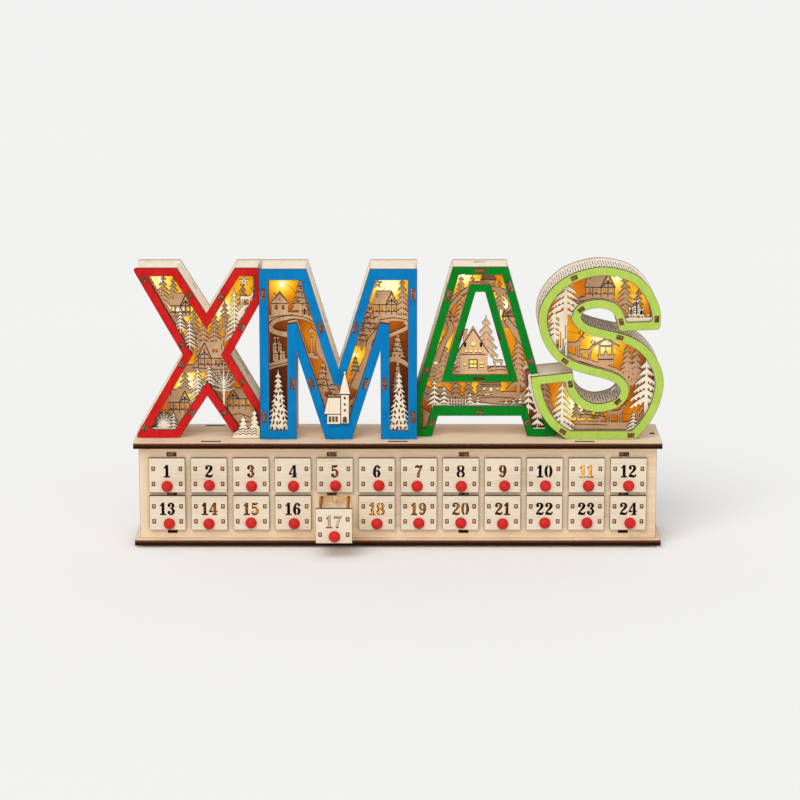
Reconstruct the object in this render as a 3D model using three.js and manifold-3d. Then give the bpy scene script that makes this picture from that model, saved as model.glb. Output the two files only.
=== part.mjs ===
// Wooden advent calendar: a case of 24 small drawers in two rows under four lit box letters.
// Millimetres, +X to the right, +Y to the back, +Z up. The origin is under the middle of the whole.
// Inside the file, y is counted from the plates' front edge and z from the floor.
import * as THREE from "three";
import { mergeVertices } from "three/addons/utils/BufferGeometryUtils.js";
import Module from "manifold-3d";

const wasm = await Module();
wasm.setup();

// Sheets and fits
const ply = 3; // thin plywood of panels, shelves, drawers and letters
const plateThickness = 4.8; // thicker plywood of the two plates
const clearance = 0.3; // round every tab in its slot
const seat = 0.1; // between faces that rest on each other
const overrun = 1; // how far a cutter runs past what it cuts

// Plates and feet
const plateWidth = 465;
const plateDepth = 77.7;
const caseHeight = 83.1; // between the plates
const feltThickness = 2;
const feltDiameter = 15;
const feltInset = 38; // from the plate's ends to a foot's middle, sideways
const feltSetback = 14; // from the plate's front and back edges to a foot's middle

// Case panels
const panelOverhang = 4.3; // plate past the panels at each end
const frontSetback = 7.3; // plate's front edge to the front panel's face
const backSetback = 4.7; // plate's back edge to the back panel's face
const panelTabLength = 16.5;
const panelTabSpacing = 164.5;
const endTabLength = 5;

// Drawer grid
const columns = 12;
const rows = 2;
const gridMargin = 10.5; // plate's ends to the outermost columns
const rowPitch = 34.2;
const lowerShelfHeight = 5.4; // bottom plate's top to the lower shelf's underside
const ceilingGap = 35.5; // middle shelf's middle to the upper shelf's middle
const shelfTabLength = 7.9;
const shelfTabShares = [-0.4493, -0.1311, 0.1311, 0.4493]; // of the grid's width, from the middle

// Drawers
const openingWidth = 27.9;
const openingHeight = 30;
const stopWidth = 5.4; // rounded tab that keeps a drawer from falling out
const stopLength = 5.2;
const trayWidth = 27;
const trayHeight = 28.5;
const trayLength = 55; // behind the front panel's face
const faceSize = 31.2;
const knobDiameter = 10.2;
const knobDrop = 24.5; // face's top edge to the knob's middle
const digitHeight = 11;
const digitDrop = 6.4; // face's top edge to the digits' top
const digitGap = 1.1;
const pulledDrawer = 17;
const pulledOut = 45; // how far drawer 17 stands open

// Letters
const letterHeight = 152.4;
const letterBack = 67.3; // plate's front edge to the back boards' rear face
const stripInset = 2; // strip walls stand this far inside the boards' outline
const layerLip = 1.2; // how far a cut-out layer's rim shows inside the painted frame
const frontLayerGap = 0.1; // behind the front frame
const sceneLayerGap = 14; // behind the front frame
const houseSetback = 6; // behind the A's painted ring
const cornerRadius = 2.6;
const smallSlot = 5;
const longSlot = 9.5;

// Battery case on the back panel
const batteryLength = 66;
const batteryHeight = 36;
const batteryDepth = 18;
const batteryWall = 2;
const batteryPlace = 120; // right of the middle
const doorThickness = 1.8;
const doorLip = 1;
const switchLength = 6;
const switchTravel = 3;
const switchSlotWidth = 3;
const switchProud = 1.6;
const switchFlange = 1.2; // under the case's wall, keeps the slider in

// Colours and finishes from the photograph
const naturalPly = { color: 0xdcc29c, roughness: 0.72, metalness: 0 };
const palePly = { color: 0xe9dbc2, roughness: 0.74, metalness: 0 };
const scenePly = { color: 0xb08a60, roughness: 0.72, metalness: 0 };
const redPaint = { color: 0xcf2626, roughness: 0.55, metalness: 0 };
const bluePaint = { color: 0x0a7cc0, roughness: 0.55, metalness: 0 };
const greenPaint = { color: 0x0a7f26, roughness: 0.55, metalness: 0 };
const limePaint = { color: 0xa9cf55, roughness: 0.55, metalness: 0 };
const feltWhite = { color: 0xf2efe6, roughness: 0.95, metalness: 0 };
const casePlastic = { color: 0xe6e4de, roughness: 0.45, metalness: 0 };
const switchPlastic = { color: 0x2b2b2d, roughness: 0.5, metalness: 0 };

// Places that follow from the sizes above
const bottomPlateTop = feltThickness + plateThickness;
const topPlateUnder = bottomPlateTop + caseHeight;
const letterFloor = topPlateUnder + plateThickness;
const panelHalf = plateWidth / 2 - panelOverhang;
const gridWidth = plateWidth - 2 * gridMargin;
const columnPitch = gridWidth / columns;
const shelfTabPlaces = shelfTabShares.map((share) => share * gridWidth);
const frontFace = frontSetback;
const frontInner = frontFace + ply;
const backFace = plateDepth - backSetback;
const backInner = backFace - ply;
const lowerShelfTop = bottomPlateTop + lowerShelfHeight + ply;
const middleShelfTop = lowerShelfTop + rowPitch;
const upperShelfUnder = middleShelfTop - ply + ceilingGap;
const shelfHalf = panelHalf - ply - seat;
const knobRadius = knobDiameter / 2;
const frontmost = Math.min(0, frontFace - ply - seat - knobRadius - pulledOut);
const rearmost = Math.max(plateDepth, backFace + seat + batteryDepth);

const calendar = new THREE.Group();
const assembly = new THREE.Group();
assembly.position.y = -(frontmost + rearmost) / 2;
calendar.add(assembly);

// Solids: a closed geometry becomes a solid that can be cut and joined, and comes back as a mesh.
function toSolid(geometry) {
  const bare = geometry.clone();
  bare.deleteAttribute("normal");
  bare.deleteAttribute("uv");
  const merged = mergeVertices(bare, 1e-4);
  return new wasm.Manifold(
    new wasm.Mesh({
      numProp: 3,
      vertProperties: new Float32Array(merged.attributes.position.array),
      triVerts: new Uint32Array(merged.index.array),
    }),
  );
}

function addPart(name, solid, look) {
  const data = solid.getMesh();
  const geometry = new THREE.BufferGeometry();
  geometry.setAttribute("position", new THREE.BufferAttribute(new Float32Array(data.vertProperties), 3));
  geometry.setIndex(new THREE.BufferAttribute(new Uint32Array(data.triVerts), 1));
  geometry.computeVertexNormals();
  const mesh = new THREE.Mesh(geometry, new THREE.MeshStandardMaterial(look));
  mesh.name = name;
  assembly.add(mesh);
}

function box(x0, x1, y0, y1, z0, z1) {
  const geometry = new THREE.BoxGeometry(x1 - x0, y1 - y0, z1 - z0);
  geometry.translate((x0 + x1) / 2, (y0 + y1) / 2, (z0 + z1) / 2);
  return toSolid(geometry);
}

const point = (x, z) => new THREE.Vector2(x, z);
const rectangle = (x0, x1, z0, z1) => [point(x0, z0), point(x1, z0), point(x1, z1), point(x0, z1)];

const joinAll = (solids) => solids.reduce((whole, next) => whole.add(next));

function extruded(outline, depth) {
  return new THREE.ExtrudeGeometry(new THREE.Shape(outline), { depth, bevelEnabled: false });
}

// A board standing in the x-z plane, from y0 to y1, with holes.
function uprightBoard(outline, holes, y0, y1) {
  const geometry = extruded(outline, y1 - y0);
  geometry.rotateX(Math.PI / 2);
  geometry.translate(0, y1, 0);
  const board = toSolid(geometry);
  if (!holes.length) {
    return board;
  }
  return board.subtract(joinAll(holes.map((hole) => uprightBoard(hole, [], y0 - overrun, y1 + overrun))));
}

// A board lying flat, drawn in x and y, from z0 to z1, with holes.
function flatBoard(outline, holes, z0, z1) {
  const geometry = extruded(outline, z1 - z0);
  geometry.translate(0, 0, z0);
  const board = toSolid(geometry);
  if (!holes.length) {
    return board;
  }
  return board.subtract(joinAll(holes.map((hole) => flatBoard(hole, [], z0 - overrun, z1 + overrun))));
}

const slotHole = (x, y, length, width) =>
  rectangle(
    x - length / 2 - clearance,
    x + length / 2 + clearance,
    y - width / 2 - clearance,
    y + width / 2 + clearance,
  );

// Letter outlines are lists of corners, anticlockwise from the front, z from the letter's foot.
// blunt limits how far a corner runs out, as a multiple of the distance, when the outline is moved inwards.
// share makes the painted frame wider or narrower along the edge that starts at the corner.
// round marks a corner that the board rounds off.
const corner = (x, z, more = {}) => ({ x, z, ...more });

function moveIn(outline, distance, framed = false) {
  const count = outline.length;
  const normals = outline.map((here, i) => {
    const after = outline[(i + 1) % count];
    return point(here.z - after.z, after.x - here.x).normalize();
  });
  const steps = outline.map((here) => distance * (framed ? (here.share ?? 1) : 1));
  const pairs = outline.map((here, i) => {
    const last = (i + count - 1) % count;
    const [n0, n1] = [normals[last], normals[i]];
    const [d0, d1] = [steps[last], steps[i]];
    const cross = n0.x * n1.y - n0.y * n1.x;
    let shift = n0.clone().multiplyScalar(d0);
    if (Math.abs(cross) > 1e-6) {
      shift = point((d0 * n1.y - d1 * n0.y) / cross, (n0.x * d1 - n1.x * d0) / cross);
    }
    const reach = here.blunt * Math.abs(distance);
    if (!here.blunt || shift.length() <= reach) {
      return [{ ...here, x: here.x + shift.x, z: here.z + shift.y }];
    }
    const along = shift.clone().normalize();
    const across = point(-along.y, along.x);
    return [
      [n0, d0],
      [n1, d1],
    ].map(([n, d]) => {
      const slide = (d - reach * along.dot(n)) / across.dot(n);
      return corner(here.x + along.x * reach + across.x * slide, here.z + along.y * reach + across.y * slide);
    });
  });
  // An edge too short for the distance would turn round: its two neighbours meet instead.
  const turnedEdge = outline.findIndex((here, i) => {
    const after = (i + 1) % count;
    const start = pairs[i][pairs[i].length - 1];
    const end = pairs[after][0];
    return (end.x - start.x) * (outline[after].x - here.x) + (end.z - start.z) * (outline[after].z - here.z) < 0;
  });
  if (turnedEdge < 0) {
    return pairs.flat();
  }
  const next = (turnedEdge + 1) % count;
  const meeting = meet(outline, (turnedEdge + count - 1) % count, next);
  const kept = outline.map((here, i) => (i === turnedEdge ? { ...outline[next], ...here, ...meeting } : here));
  return moveIn(
    kept.filter((here, i) => i !== next),
    distance,
    framed,
  );
}

// Where the lines of two edges cross.
function meet(outline, first, second) {
  const count = outline.length;
  const a = outline[first];
  const b = outline[second];
  const u = point(outline[(first + 1) % count].x - a.x, outline[(first + 1) % count].z - a.z);
  const v = point(outline[(second + 1) % count].x - b.x, outline[(second + 1) % count].z - b.z);
  const along = ((b.x - a.x) * v.y - (b.z - a.z) * v.x) / (u.x * v.y - u.y * v.x);
  return { x: a.x + u.x * along, z: a.z + u.y * along };
}

// Corners marked round become short arcs; the rest stay sharp.
function drawn(outline, radius = cornerRadius) {
  const points = [];
  outline.forEach((here, i) => {
    if (!here.round) {
      points.push(point(here.x, here.z));
      return;
    }
    const before = outline[(i + outline.length - 1) % outline.length];
    const after = outline[(i + 1) % outline.length];
    const a = point(before.x - here.x, before.z - here.z).normalize();
    const b = point(after.x - here.x, after.z - here.z).normalize();
    const half = Math.acos(THREE.MathUtils.clamp(a.dot(b), -1, 1)) / 2;
    const room = Math.min(
      Math.hypot(before.x - here.x, before.z - here.z),
      Math.hypot(after.x - here.x, after.z - here.z),
    );
    const back = Math.min(radius / Math.tan(half), room * 0.45);
    const start = point(here.x + a.x * back, here.z + a.y * back);
    const end = point(here.x + b.x * back, here.z + b.y * back);
    const curve = new THREE.QuadraticBezierCurve(start, point(here.x, here.z), end);
    points.push(...curve.getPoints(3));
  });
  return points;
}

const raised = (points) => points.map((p) => point(p.x, p.y + letterFloor + seat));
const prism = (outline, y0, y1) => uprightBoard(raised(drawn(outline)), [], y0, y1);

const xLetter = {
  name: "x",
  paint: redPaint,
  front: 22.2,
  rim: 7.3,
  footTabs: [
    [-213, 20],
    [-133, 11],
  ],
};
const mLetter = {
  name: "m",
  paint: bluePaint,
  front: 16.6,
  rim: 8,
  footTabs: [
    [-105.5, 16],
    [-53.2, 11],
    [1, 16],
  ],
};
const aLetter = {
  name: "a",
  paint: greenPaint,
  front: 27.5,
  rim: 7,
  footTabs: [
    [23.6, 6],
    [127.3, 12],
  ],
};
const sLetter = {
  name: "s",
  paint: limePaint,
  front: 16.6,
  rim: 7.5,
  footTabs: [[174.5, 25.3]],
};

// M: two upright legs, a deep notch on top and two narrow gaps below.
const mMiddle = -52.15;
const mHalf = 69.15;
const mLegInner = 37.2;
const mNotchHalf = 27.7;
const mNotchFloor = 62.6;
const mGapTop = 79.4;
const mPointHalf = 11.7;
const mLeft = mMiddle - mHalf;
const mRight = mMiddle + mHalf;
mLetter.outline = [
  corner(mLeft, 0),
  corner(mMiddle - mLegInner, 0),
  corner(mMiddle - mLegInner + 0.3, mGapTop, { blunt: 3.1 }),
  corner(mMiddle - mPointHalf, 0),
  corner(mMiddle + mPointHalf, 0),
  corner(mMiddle + mLegInner - 0.3, mGapTop, { blunt: 3.1 }),
  corner(mMiddle + mLegInner, 0),
  corner(mRight, 0),
  corner(mRight, letterHeight),
  corner(mMiddle + mNotchHalf, letterHeight),
  corner(mMiddle, mNotchFloor, { blunt: 1.8 }),
  corner(mMiddle - mNotchHalf, letterHeight),
  corner(mLeft, letterHeight),
];

// X: crossed strokes; the right arms end at the M's side.
const xMiddle = -168;
const xHalf = 64.5;
const xArmInner = 25.2;
const xTopNotch = 111.7;
const xBottomNotch = 37.9;
const xWaist = 21;
const xWaistHeight = 74.7;
const xEnd = mLeft - clearance;
const narrowShare = 0.48; // where a letter ends at its neighbour
const xArmRise = (letterHeight - xWaistHeight) / (xHalf - xWaist);
const xArmFall = xWaistHeight / (xHalf - xWaist);
const xReach = xEnd - xMiddle - xWaist;
xLetter.outline = [
  corner(xMiddle - xHalf, 0, { round: true }),
  corner(xMiddle - xArmInner, 0),
  corner(xMiddle, xBottomNotch),
  corner(xMiddle + xArmInner, 0),
  corner(xEnd, 0, { share: narrowShare }),
  corner(xEnd, xWaistHeight - xReach * xArmFall),
  corner(xMiddle + xWaist, xWaistHeight),
  corner(xEnd, xWaistHeight + xReach * xArmRise, { share: narrowShare }),
  corner(xEnd, letterHeight),
  corner(xMiddle + xArmInner, letterHeight),
  corner(xMiddle, xTopNotch),
  corner(xMiddle - xArmInner, letterHeight),
  corner(xMiddle - xHalf, letterHeight, { round: true }),
  corner(xMiddle - xWaist, xWaistHeight, { round: true }),
];

// A: sloping legs round a counter; the left leg ends at the M's side, the right leg at the S.
const aMiddle = 72.45;
const aFootHalf = 67.7;
const aTopHalf = 24.25;
const aGapFootHalf = 42.3;
const aGapTopHalf = 36.7;
const aGapTop = 18.7;
const aCounterFloor = 55.9;
const aCounterFloorHalf = 25.3;
const aCounterDrop = 22.2; // letter's top to the counter's top
const aCounterTopHalf = 4.15;
const aCounterRim = 6.5;
const aBarShare = 1.28;
const aStart = mRight + clearance;
const aCounterTop = letterHeight - aCounterDrop;
const aSlope = (aFootHalf - aTopHalf) / letterHeight;
aLetter.outline = [
  corner(aStart, 0),
  corner(aMiddle - aGapFootHalf, 0),
  corner(aMiddle - aGapTopHalf, aGapTop, { share: aBarShare }),
  corner(aMiddle + aGapTopHalf, aGapTop),
  corner(aMiddle + aGapFootHalf, 0),
  corner(aMiddle + aFootHalf, 0),
  corner(aMiddle + aTopHalf, letterHeight),
  corner(aMiddle - aTopHalf, letterHeight),
  corner(aStart, (aStart - aMiddle + aFootHalf) / aSlope, { share: narrowShare }),
];
aLetter.counter = [
  corner(aMiddle - aCounterFloorHalf, aCounterFloor),
  corner(aMiddle + aCounterFloorHalf, aCounterFloor),
  corner(aMiddle + aCounterTopHalf, aCounterTop),
  corner(aMiddle - aCounterTopHalf, aCounterTop),
];

// S: smooth runs between its two stroke ends and the flat it stands on.
function smoothRun(places, steps) {
  const curve = new THREE.SplineCurve(places.map(([x, z]) => point(x, z)));
  return curve.getPoints((places.length - 1) * steps);
}
const sUpperTip = [229.4, 98.6];
const sUpperNook = [194.4, 97.2];
const sLowerNook = [154.2, 60.2];
const sLowerTip = [117.2, 56.1];
const sFlatLeft = [149.6, 0];
const sFlatRight = [209.4, 0];
const sOuterRun = [
  sUpperTip,
  [230.4, 112],
  [224, 130],
  [207.5, 147.6],
  [177.5, 154.3],
  [146.5, 145.2],
  [128.5, 126.5],
  [123.2, 107],
  [127.7, 87.9],
  [139.8, 71],
  [158, 61.2],
  [179, 55.5],
  [191, 50.8],
  [196, 43.5],
  [190.5, 35.6],
  [175.5, 32.1],
  [163, 36.9],
  [156, 47.4],
  sLowerNook,
];
const sBowlRun = [sLowerTip, [119, 43.5], [125, 25.5], [135.5, 10.6], sFlatLeft];
const sInnerRun = [
  sFlatRight,
  [219.5, 10.8],
  [229.5, 28.5],
  [234, 50],
  [229.5, 68.5],
  [217.5, 84.2],
  [201.5, 93.2],
  [183, 98],
  [167, 102.8],
  [160.2, 109.4],
  [165, 115.6],
  [176.5, 117.8],
  [187, 114.8],
  [191.8, 106.6],
  sUpperNook,
];
const runCorners = (run) =>
  smoothRun(run, 2).map((p, i, all) => corner(p.x, p.y, i === 0 || i === all.length - 1 ? { round: true } : {}));
const bowlCorners = runCorners(sBowlRun);
const innerCorners = runCorners(sInnerRun);
delete bowlCorners[bowlCorners.length - 1].round;
delete innerCorners[0].round;
sLetter.outline = [...bowlCorners, ...innerCorners, ...runCorners(sOuterRun)];

// The S stands before the A's right leg, so everything of the A stays clear of the S.
const letters = [xLetter, mLetter, aLetter, sLetter];
const clearOfS = (letter, solid, extra = 0) =>
  letter === aLetter
    ? solid.subtract(prism(moveIn(sLetter.outline, -clearance - extra), aLetter.front - overrun, plateDepth))
    : solid;

// A letter's outline moved in by a distance, as a solid from y0 to y1.
function letterCore(letter, distance, y0, y1, framed = false) {
  let core = prism(moveIn(letter.outline, distance, framed), y0, y1);
  if (letter.counter) {
    core = core.subtract(prism(moveIn(letter.counter, -distance), y0 - overrun, y1 + overrun));
  }
  return clearOfS(letter, core, distance);
}

// Tabs of the strip walls: places near the outline, each with its length.
xLetter.tabs = [
  [-226, 140, smallSlot],
  [-184, 127, smallSlot],
  [-156, 127, smallSlot],
  [-134, 98, smallSlot],
  [-192, 82, smallSlot],
  [-192, 67, smallSlot],
  [-135, 51, smallSlot],
  [-181, 22, smallSlot],
  [-155, 22, smallSlot],
  [-226, 10, smallSlot],
];
mLetter.tabs = [
  [-118, 130, longSlot],
  [-69, 100, longSlot],
  [-36, 100, longSlot],
  [13, 130, longSlot],
  [-92, 50, longSlot],
  [-77, 50, longSlot],
  [-28, 50, longSlot],
  [-12, 50, longSlot],
  [-118, 20, longSlot],
  [13, 20, longSlot],
];
aLetter.tabs = [
  [72.5, 150, longSlot],
  [98, 135, longSlot],
  [44, 127, longSlot],
  [24, 60, smallSlot],
  [118, 68, smallSlot],
  [72.5, 21, smallSlot],
  [31, 12, smallSlot],
  [114, 12, smallSlot],
];
aLetter.counterTabs = [
  [56, 92, longSlot],
  [89, 92, longSlot],
  [72.5, 52, longSlot],
];
sLetter.tabs = [
  [153, 147, smallSlot],
  [161, 116, smallSlot],
  [194, 105, smallSlot],
  [227, 108, smallSlot],
  [195, 92, smallSlot],
  [146, 69, smallSlot],
  [153, 50, smallSlot],
  [192, 36, smallSlot],
  [145, 6, smallSlot],
  [206, 4, smallSlot],
];

// The strip's middle line beside a place, and the direction of the edge there.
function onStrip(ring, [x, z]) {
  let best = null;
  ring.forEach((a, i) => {
    const b = ring[(i + 1) % ring.length];
    const length = Math.hypot(b.x - a.x, b.z - a.z);
    const along = point((b.x - a.x) / length, (b.z - a.z) / length);
    const t = THREE.MathUtils.clamp((x - a.x) * along.x + (z - a.z) * along.y, 0, length);
    const foot = point(a.x + along.x * t, a.z + along.y * t);
    const away = Math.hypot(x - foot.x, z - foot.y);
    if (!best || away < best.away) {
      best = { away, foot, along };
    }
  });
  const inset = stripInset + ply / 2;
  return {
    middle: point(best.foot.x - best.along.y * inset, best.foot.y + best.along.x * inset),
    along: best.along,
  };
}

// A strip's tabs as solids from y0 to y1; extra leaves room round them for their slots.
function stripTabs(ring, tabs, extra, y0, y1) {
  const solids = tabs.map((tab) => {
    const { middle, along } = onStrip(ring, tab);
    const half = tab[2] / 2 + extra;
    const thick = ply / 2 + extra;
    const ends = [
      [-half, -thick],
      [half, -thick],
      [half, thick],
      [-half, thick],
    ];
    const outline = ends.map(([a, b]) =>
      point(middle.x + along.x * a - along.y * b, middle.y + along.y * a + along.x * b),
    );
    return uprightBoard(raised(outline), [], y0, y1);
  });
  return joinAll(solids);
}

// Stock figures of the cut-out layers: tiered firs, gabled houses, a standing deer and a hill line.
function fir(x, foot, height, half) {
  const profile = [
    [0.16, 0],
    [0.16, 0.14],
    [1, 0.14],
    [0.5, 0.39],
    [0.71, 0.43],
    [0.37, 0.67],
    [0.41, 0.71],
    [0, 1],
  ];
  const right = profile.map(([a, b]) => point(x + a * half, foot + b * height));
  const left = profile
    .slice(0, -1)
    .reverse()
    .map(([a, b]) => point(x - a * half, foot + b * height));
  return [...right, ...left];
}

function house(x, foot, width, wall, roof) {
  const eave = width * 0.08;
  return [
    point(x - width / 2, foot),
    point(x + width / 2, foot),
    point(x + width / 2, foot + wall),
    point(x + width / 2 + eave, foot + wall),
    point(x, foot + wall + roof),
    point(x - width / 2 - eave, foot + wall),
    point(x - width / 2, foot + wall),
  ];
}

function church(x, foot, width, height) {
  const half = width / 2;
  return [
    point(x - half, foot),
    point(x + half, foot),
    point(x + half, foot + height * 0.3),
    point(x + half * 0.42, foot + height * 0.46),
    point(x + half * 0.42, foot + height * 0.62),
    point(x, foot + height),
    point(x - half * 0.42, foot + height * 0.62),
    point(x - half * 0.42, foot + height * 0.46),
    point(x - half, foot + height * 0.3),
  ];
}

// A deer facing right, as tall as size from hoof to antler.
function deer(x, foot, size) {
  const profile = [
    [-0.42, 0],
    [-0.34, 0],
    [-0.3, 0.3],
    [0.08, 0.3],
    [0.12, 0],
    [0.2, 0],
    [0.22, 0.42],
    [0.34, 0.62],
    [0.5, 0.62],
    [0.42, 0.76],
    [0.46, 1],
    [0.3, 0.8],
    [0.16, 1],
    [0.2, 0.74],
    [0.06, 0.56],
    [-0.4, 0.56],
    [-0.46, 0.4],
  ];
  return profile.map(([a, b]) => point(x + a * size, foot + b * size));
}

const hill = (x0, x1, floor, heights) => [
  point(x0, floor),
  point(x1, floor),
  ...heights
    .slice()
    .reverse()
    .map((h, i) => point(x1 - ((x1 - x0) * i) / (heights.length - 1), h)),
];

xLetter.pale = [
  fir(-213, 2, 62, 13),
  fir(-132, 2, 52, 12),
  hill(-232, -193, 0, [14, 12, 10]),
  hill(-144, -121, 0, [10, 12, 14]),
  fir(-146, 96, 42, 9),
  hill(-170, -121, 60, [96, 100, 104]),
];
xLetter.scene = [
  house(-200, 98, 22, 14, 14),
  hill(-226, -166, 60, [100, 100, 92]),
  deer(-166, 66, 26),
  hill(-194, -140, 40, [68, 68, 64]),
  fir(-136, 98, 34, 8),
  house(-206, 30, 16, 12, 10),
  hill(-232, -168, 0, [32, 30, 18]),
  fir(-180, 16, 34, 8),
  hill(-168, -121, 0, [18, 26, 30]),
];
mLetter.pale = [
  fir(-104, 2, 60, 8.5),
  fir(0, 2, 56, 8.5),
  church(-53, 8, 22, 50),
  hill(-121, -89, 0, [12, 11, 10]),
  hill(-65, -41, 0, [9, 9, 9]),
  hill(-15, 17, 0, [10, 11, 12]),
];
mLetter.scene = [
  fir(-104, 60, 56, 10),
  house(-76, 74, 20, 12, 12),
  hill(-121, -60, 40, [62, 76, 70]),
  fir(-60, 30, 40, 9),
  fir(-44, 30, 36, 9),
  hill(-80, -25, 0, [30, 32, 30]),
  house(-30, 78, 18, 12, 12),
  fir(0, 62, 58, 10),
  hill(-45, 17, 40, [70, 80, 64]),
];
aLetter.pale = [
  fir(36, 22, 44, 9),
  fir(122, 2, 56, 11),
  fir(58, 24, 16, 5),
  fir(76, 24, 14, 5),
  fir(96, 24, 18, 6),
  hill(17, 36, 0, [26, 28, 30]),
  hill(30, 120, 16, [30, 29, 30]),
  hill(108, 142, 0, [8, 8, 8]),
];
aLetter.inCounter = [
  house(66.5, 50, 26, 25.5, 23),
  fir(79, 50, 58, 12),
  deer(88, 57, 15),
  hill(44, 100, 50, [59, 58, 57]),
];
aLetter.scene = [
  hill(17, 58, 40, [66, 64, 62, 58]),
  hill(88, 126, 50, [78, 80, 74]),
  hill(36, 60, 100, [108, 106, 110]),
  fir(34, 56, 44, 9),
  house(40, 30, 22, 16, 14),
  deer(92, 30, 20),
  fir(112, 34, 50, 10),
  hill(17, 132, 0, [34, 32, 31, 34]),
  hill(62, 84, 128, [134, 137, 134]),
];
sLetter.pale = [
  fir(146, 76, 66, 15),
  hill(124, 156, 56, [80, 66]),
  fir(144, 12, 42, 12),
  fir(216, 18, 52, 13),
  hill(118, 160, 0, [18, 10]),
  hill(196, 234, 0, [10, 22]),
  hill(196, 230, 98, [108, 108]),
];
sLetter.scene = [
  house(178, 124, 26, 12, 14),
  fir(204, 116, 26, 9),
  hill(160, 232, 96, [125, 120, 112]),
  deer(158, 74, 24),
  hill(124, 200, 50, [82, 70, 56]),
  fir(216, 60, 32, 9),
  deer(190, 10, 22),
  fir(166, 8, 24, 8),
  hill(140, 222, 0, [11, 11]),
];

const biggest = (solid) => solid.decompose().reduce((big, next) => (next.volume() > big.volume() ? next : big));

// Painted frame, two cut-out layers, strip wall and back board of one letter.
function makeLetter(letter) {
  const { name, front, rim, outline } = letter;
  const frameBack = front + ply;
  const boardFront = letterBack - ply;
  const footTabs = joinAll(
    letter.footTabs.map(([x, length]) =>
      box(x - length / 2, x + length / 2, 0, ply, topPlateUnder + seat, letterFloor + overrun),
    ),
  );
  const tabsAt = (y) => footTabs.translate(0, y, 0);
  const slots = stripTabs(outline, letter.tabs, clearance, -overrun, plateDepth);
  const window = prism(moveIn(outline, rim, true), front - overrun, frameBack + overrun);
  const frame = clearOfS(letter, prism(outline, front, frameBack).subtract(window).subtract(slots));
  addPart(`${name}_front_frame`, frame.add(clearOfS(letter, tabsAt(front))), letter.paint);

  const layer = (figures, gap) => {
    const y0 = frameBack + gap;
    const y1 = y0 + ply;
    const whole = letterCore(letter, stripInset + ply + clearance, y0, y1);
    const rimPart = whole.subtract(letterCore(letter, rim + layerLip, y0 - overrun, y1 + overrun, true));
    const shapes = joinAll(figures.map((figure) => uprightBoard(raised(figure), [], y0, y1)));
    return biggest(rimPart.add(shapes.intersect(whole)));
  };
  addPart(`${name}_pale_fir_layer`, layer(letter.pale, frontLayerGap), palePly);
  addPart(`${name}_scene_layer`, layer(letter.scene, sceneLayerGap), scenePly);

  const hollow = letterCore(letter, stripInset + ply, front - overrun, letterBack + overrun);
  const wall = biggest(letterCore(letter, stripInset, frameBack + seat, boardFront - seat).subtract(hollow));
  const wallTabs = stripTabs(outline, letter.tabs, 0, front, letterBack).subtract(hollow);
  addPart(`${name}_strip_wall`, wall.add(clearOfS(letter, wallTabs, stripInset)), palePly);

  const counterSlots = letter.counter ? counterTabs(letter, clearance, 0, plateDepth) : null;
  let board = letterCore(letter, 0, boardFront, letterBack).subtract(slots).add(clearOfS(letter, tabsAt(boardFront)));
  if (counterSlots) {
    board = board.subtract(counterSlots);
  }
  addPart(`${name}_back_board`, board, naturalPly);
}

// The counter of the A: a painted ring on its own strip wall, with a little house standing in the hole.
function counterTabs(letter, extra, y0, y1) {
  const ring = letter.counter.slice().reverse();
  return stripTabs(ring, letter.counterTabs, extra, y0, y1);
}

function makeCounter(letter) {
  const { front, counter } = letter;
  const boardFront = letterBack - ply;
  const ringSolid = (outer, inner, y0, y1) =>
    prism(moveIn(counter, -outer), y0, y1).subtract(prism(moveIn(counter, -inner), y0 - overrun, y1 + overrun));
  const ring = ringSolid(aCounterRim, 0, front, front + ply);
  const wall = ringSolid(stripInset + ply, stripInset, front, boardFront - seat);
  const tabs = counterTabs(letter, 0, front, letterBack).intersect(
    ringSolid(stripInset + ply, stripInset, front - overrun, letterBack + overrun),
  );
  const houseFront = front + ply + houseSetback;
  const figures = joinAll(
    letter.inCounter.map((figure) => uprightBoard(raised(figure), [], houseFront, houseFront + ply)),
  ).intersect(prism(moveIn(counter, -stripInset - overrun), houseFront - overrun, houseFront + ply + overrun));
  addPart("a_counter_frame", biggest(joinAll([ring, wall, tabs, figures])), letter.paint);
}
letters.forEach(makeLetter);
makeCounter(aLetter);

const letterEnds = letters.flatMap((letter) => letter.outline.map((here) => here.x));
const leftmost = Math.min(-plateWidth / 2, ...letterEnds);
const rightmost = Math.max(plateWidth / 2, ...letterEnds);
assembly.position.x = -(leftmost + rightmost) / 2;

// Plates with their slots, and the felt feet.
const frontTabY = frontFace + ply / 2;
const backTabY = backFace - ply / 2;
const endTabX = panelHalf - ply / 2;
const endTabY = (frontFace + backFace) / 2;
const panelTabs = [-panelTabSpacing, 0, panelTabSpacing];
const panelSlots = [
  ...panelTabs.map((x) => slotHole(x, frontTabY, panelTabLength, ply)),
  ...panelTabs.map((x) => slotHole(x, backTabY, panelTabLength, ply)),
  ...[-endTabX, endTabX].map((x) => slotHole(x, endTabY, ply, endTabLength)),
];
const letterSlots = letters.flatMap((letter) =>
  letter.footTabs.flatMap(([x, length]) =>
    [letter.front, letterBack - ply].map((y) => slotHole(x, y + ply / 2, length, ply)),
  ),
);
const plateOutline = rectangle(-plateWidth / 2, plateWidth / 2, 0, plateDepth);
addPart(
  "top_plate",
  flatBoard(plateOutline, [...panelSlots, ...letterSlots], topPlateUnder, letterFloor),
  naturalPly,
);
addPart("bottom_plate", flatBoard(plateOutline, panelSlots, feltThickness, bottomPlateTop), naturalPly);

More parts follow.
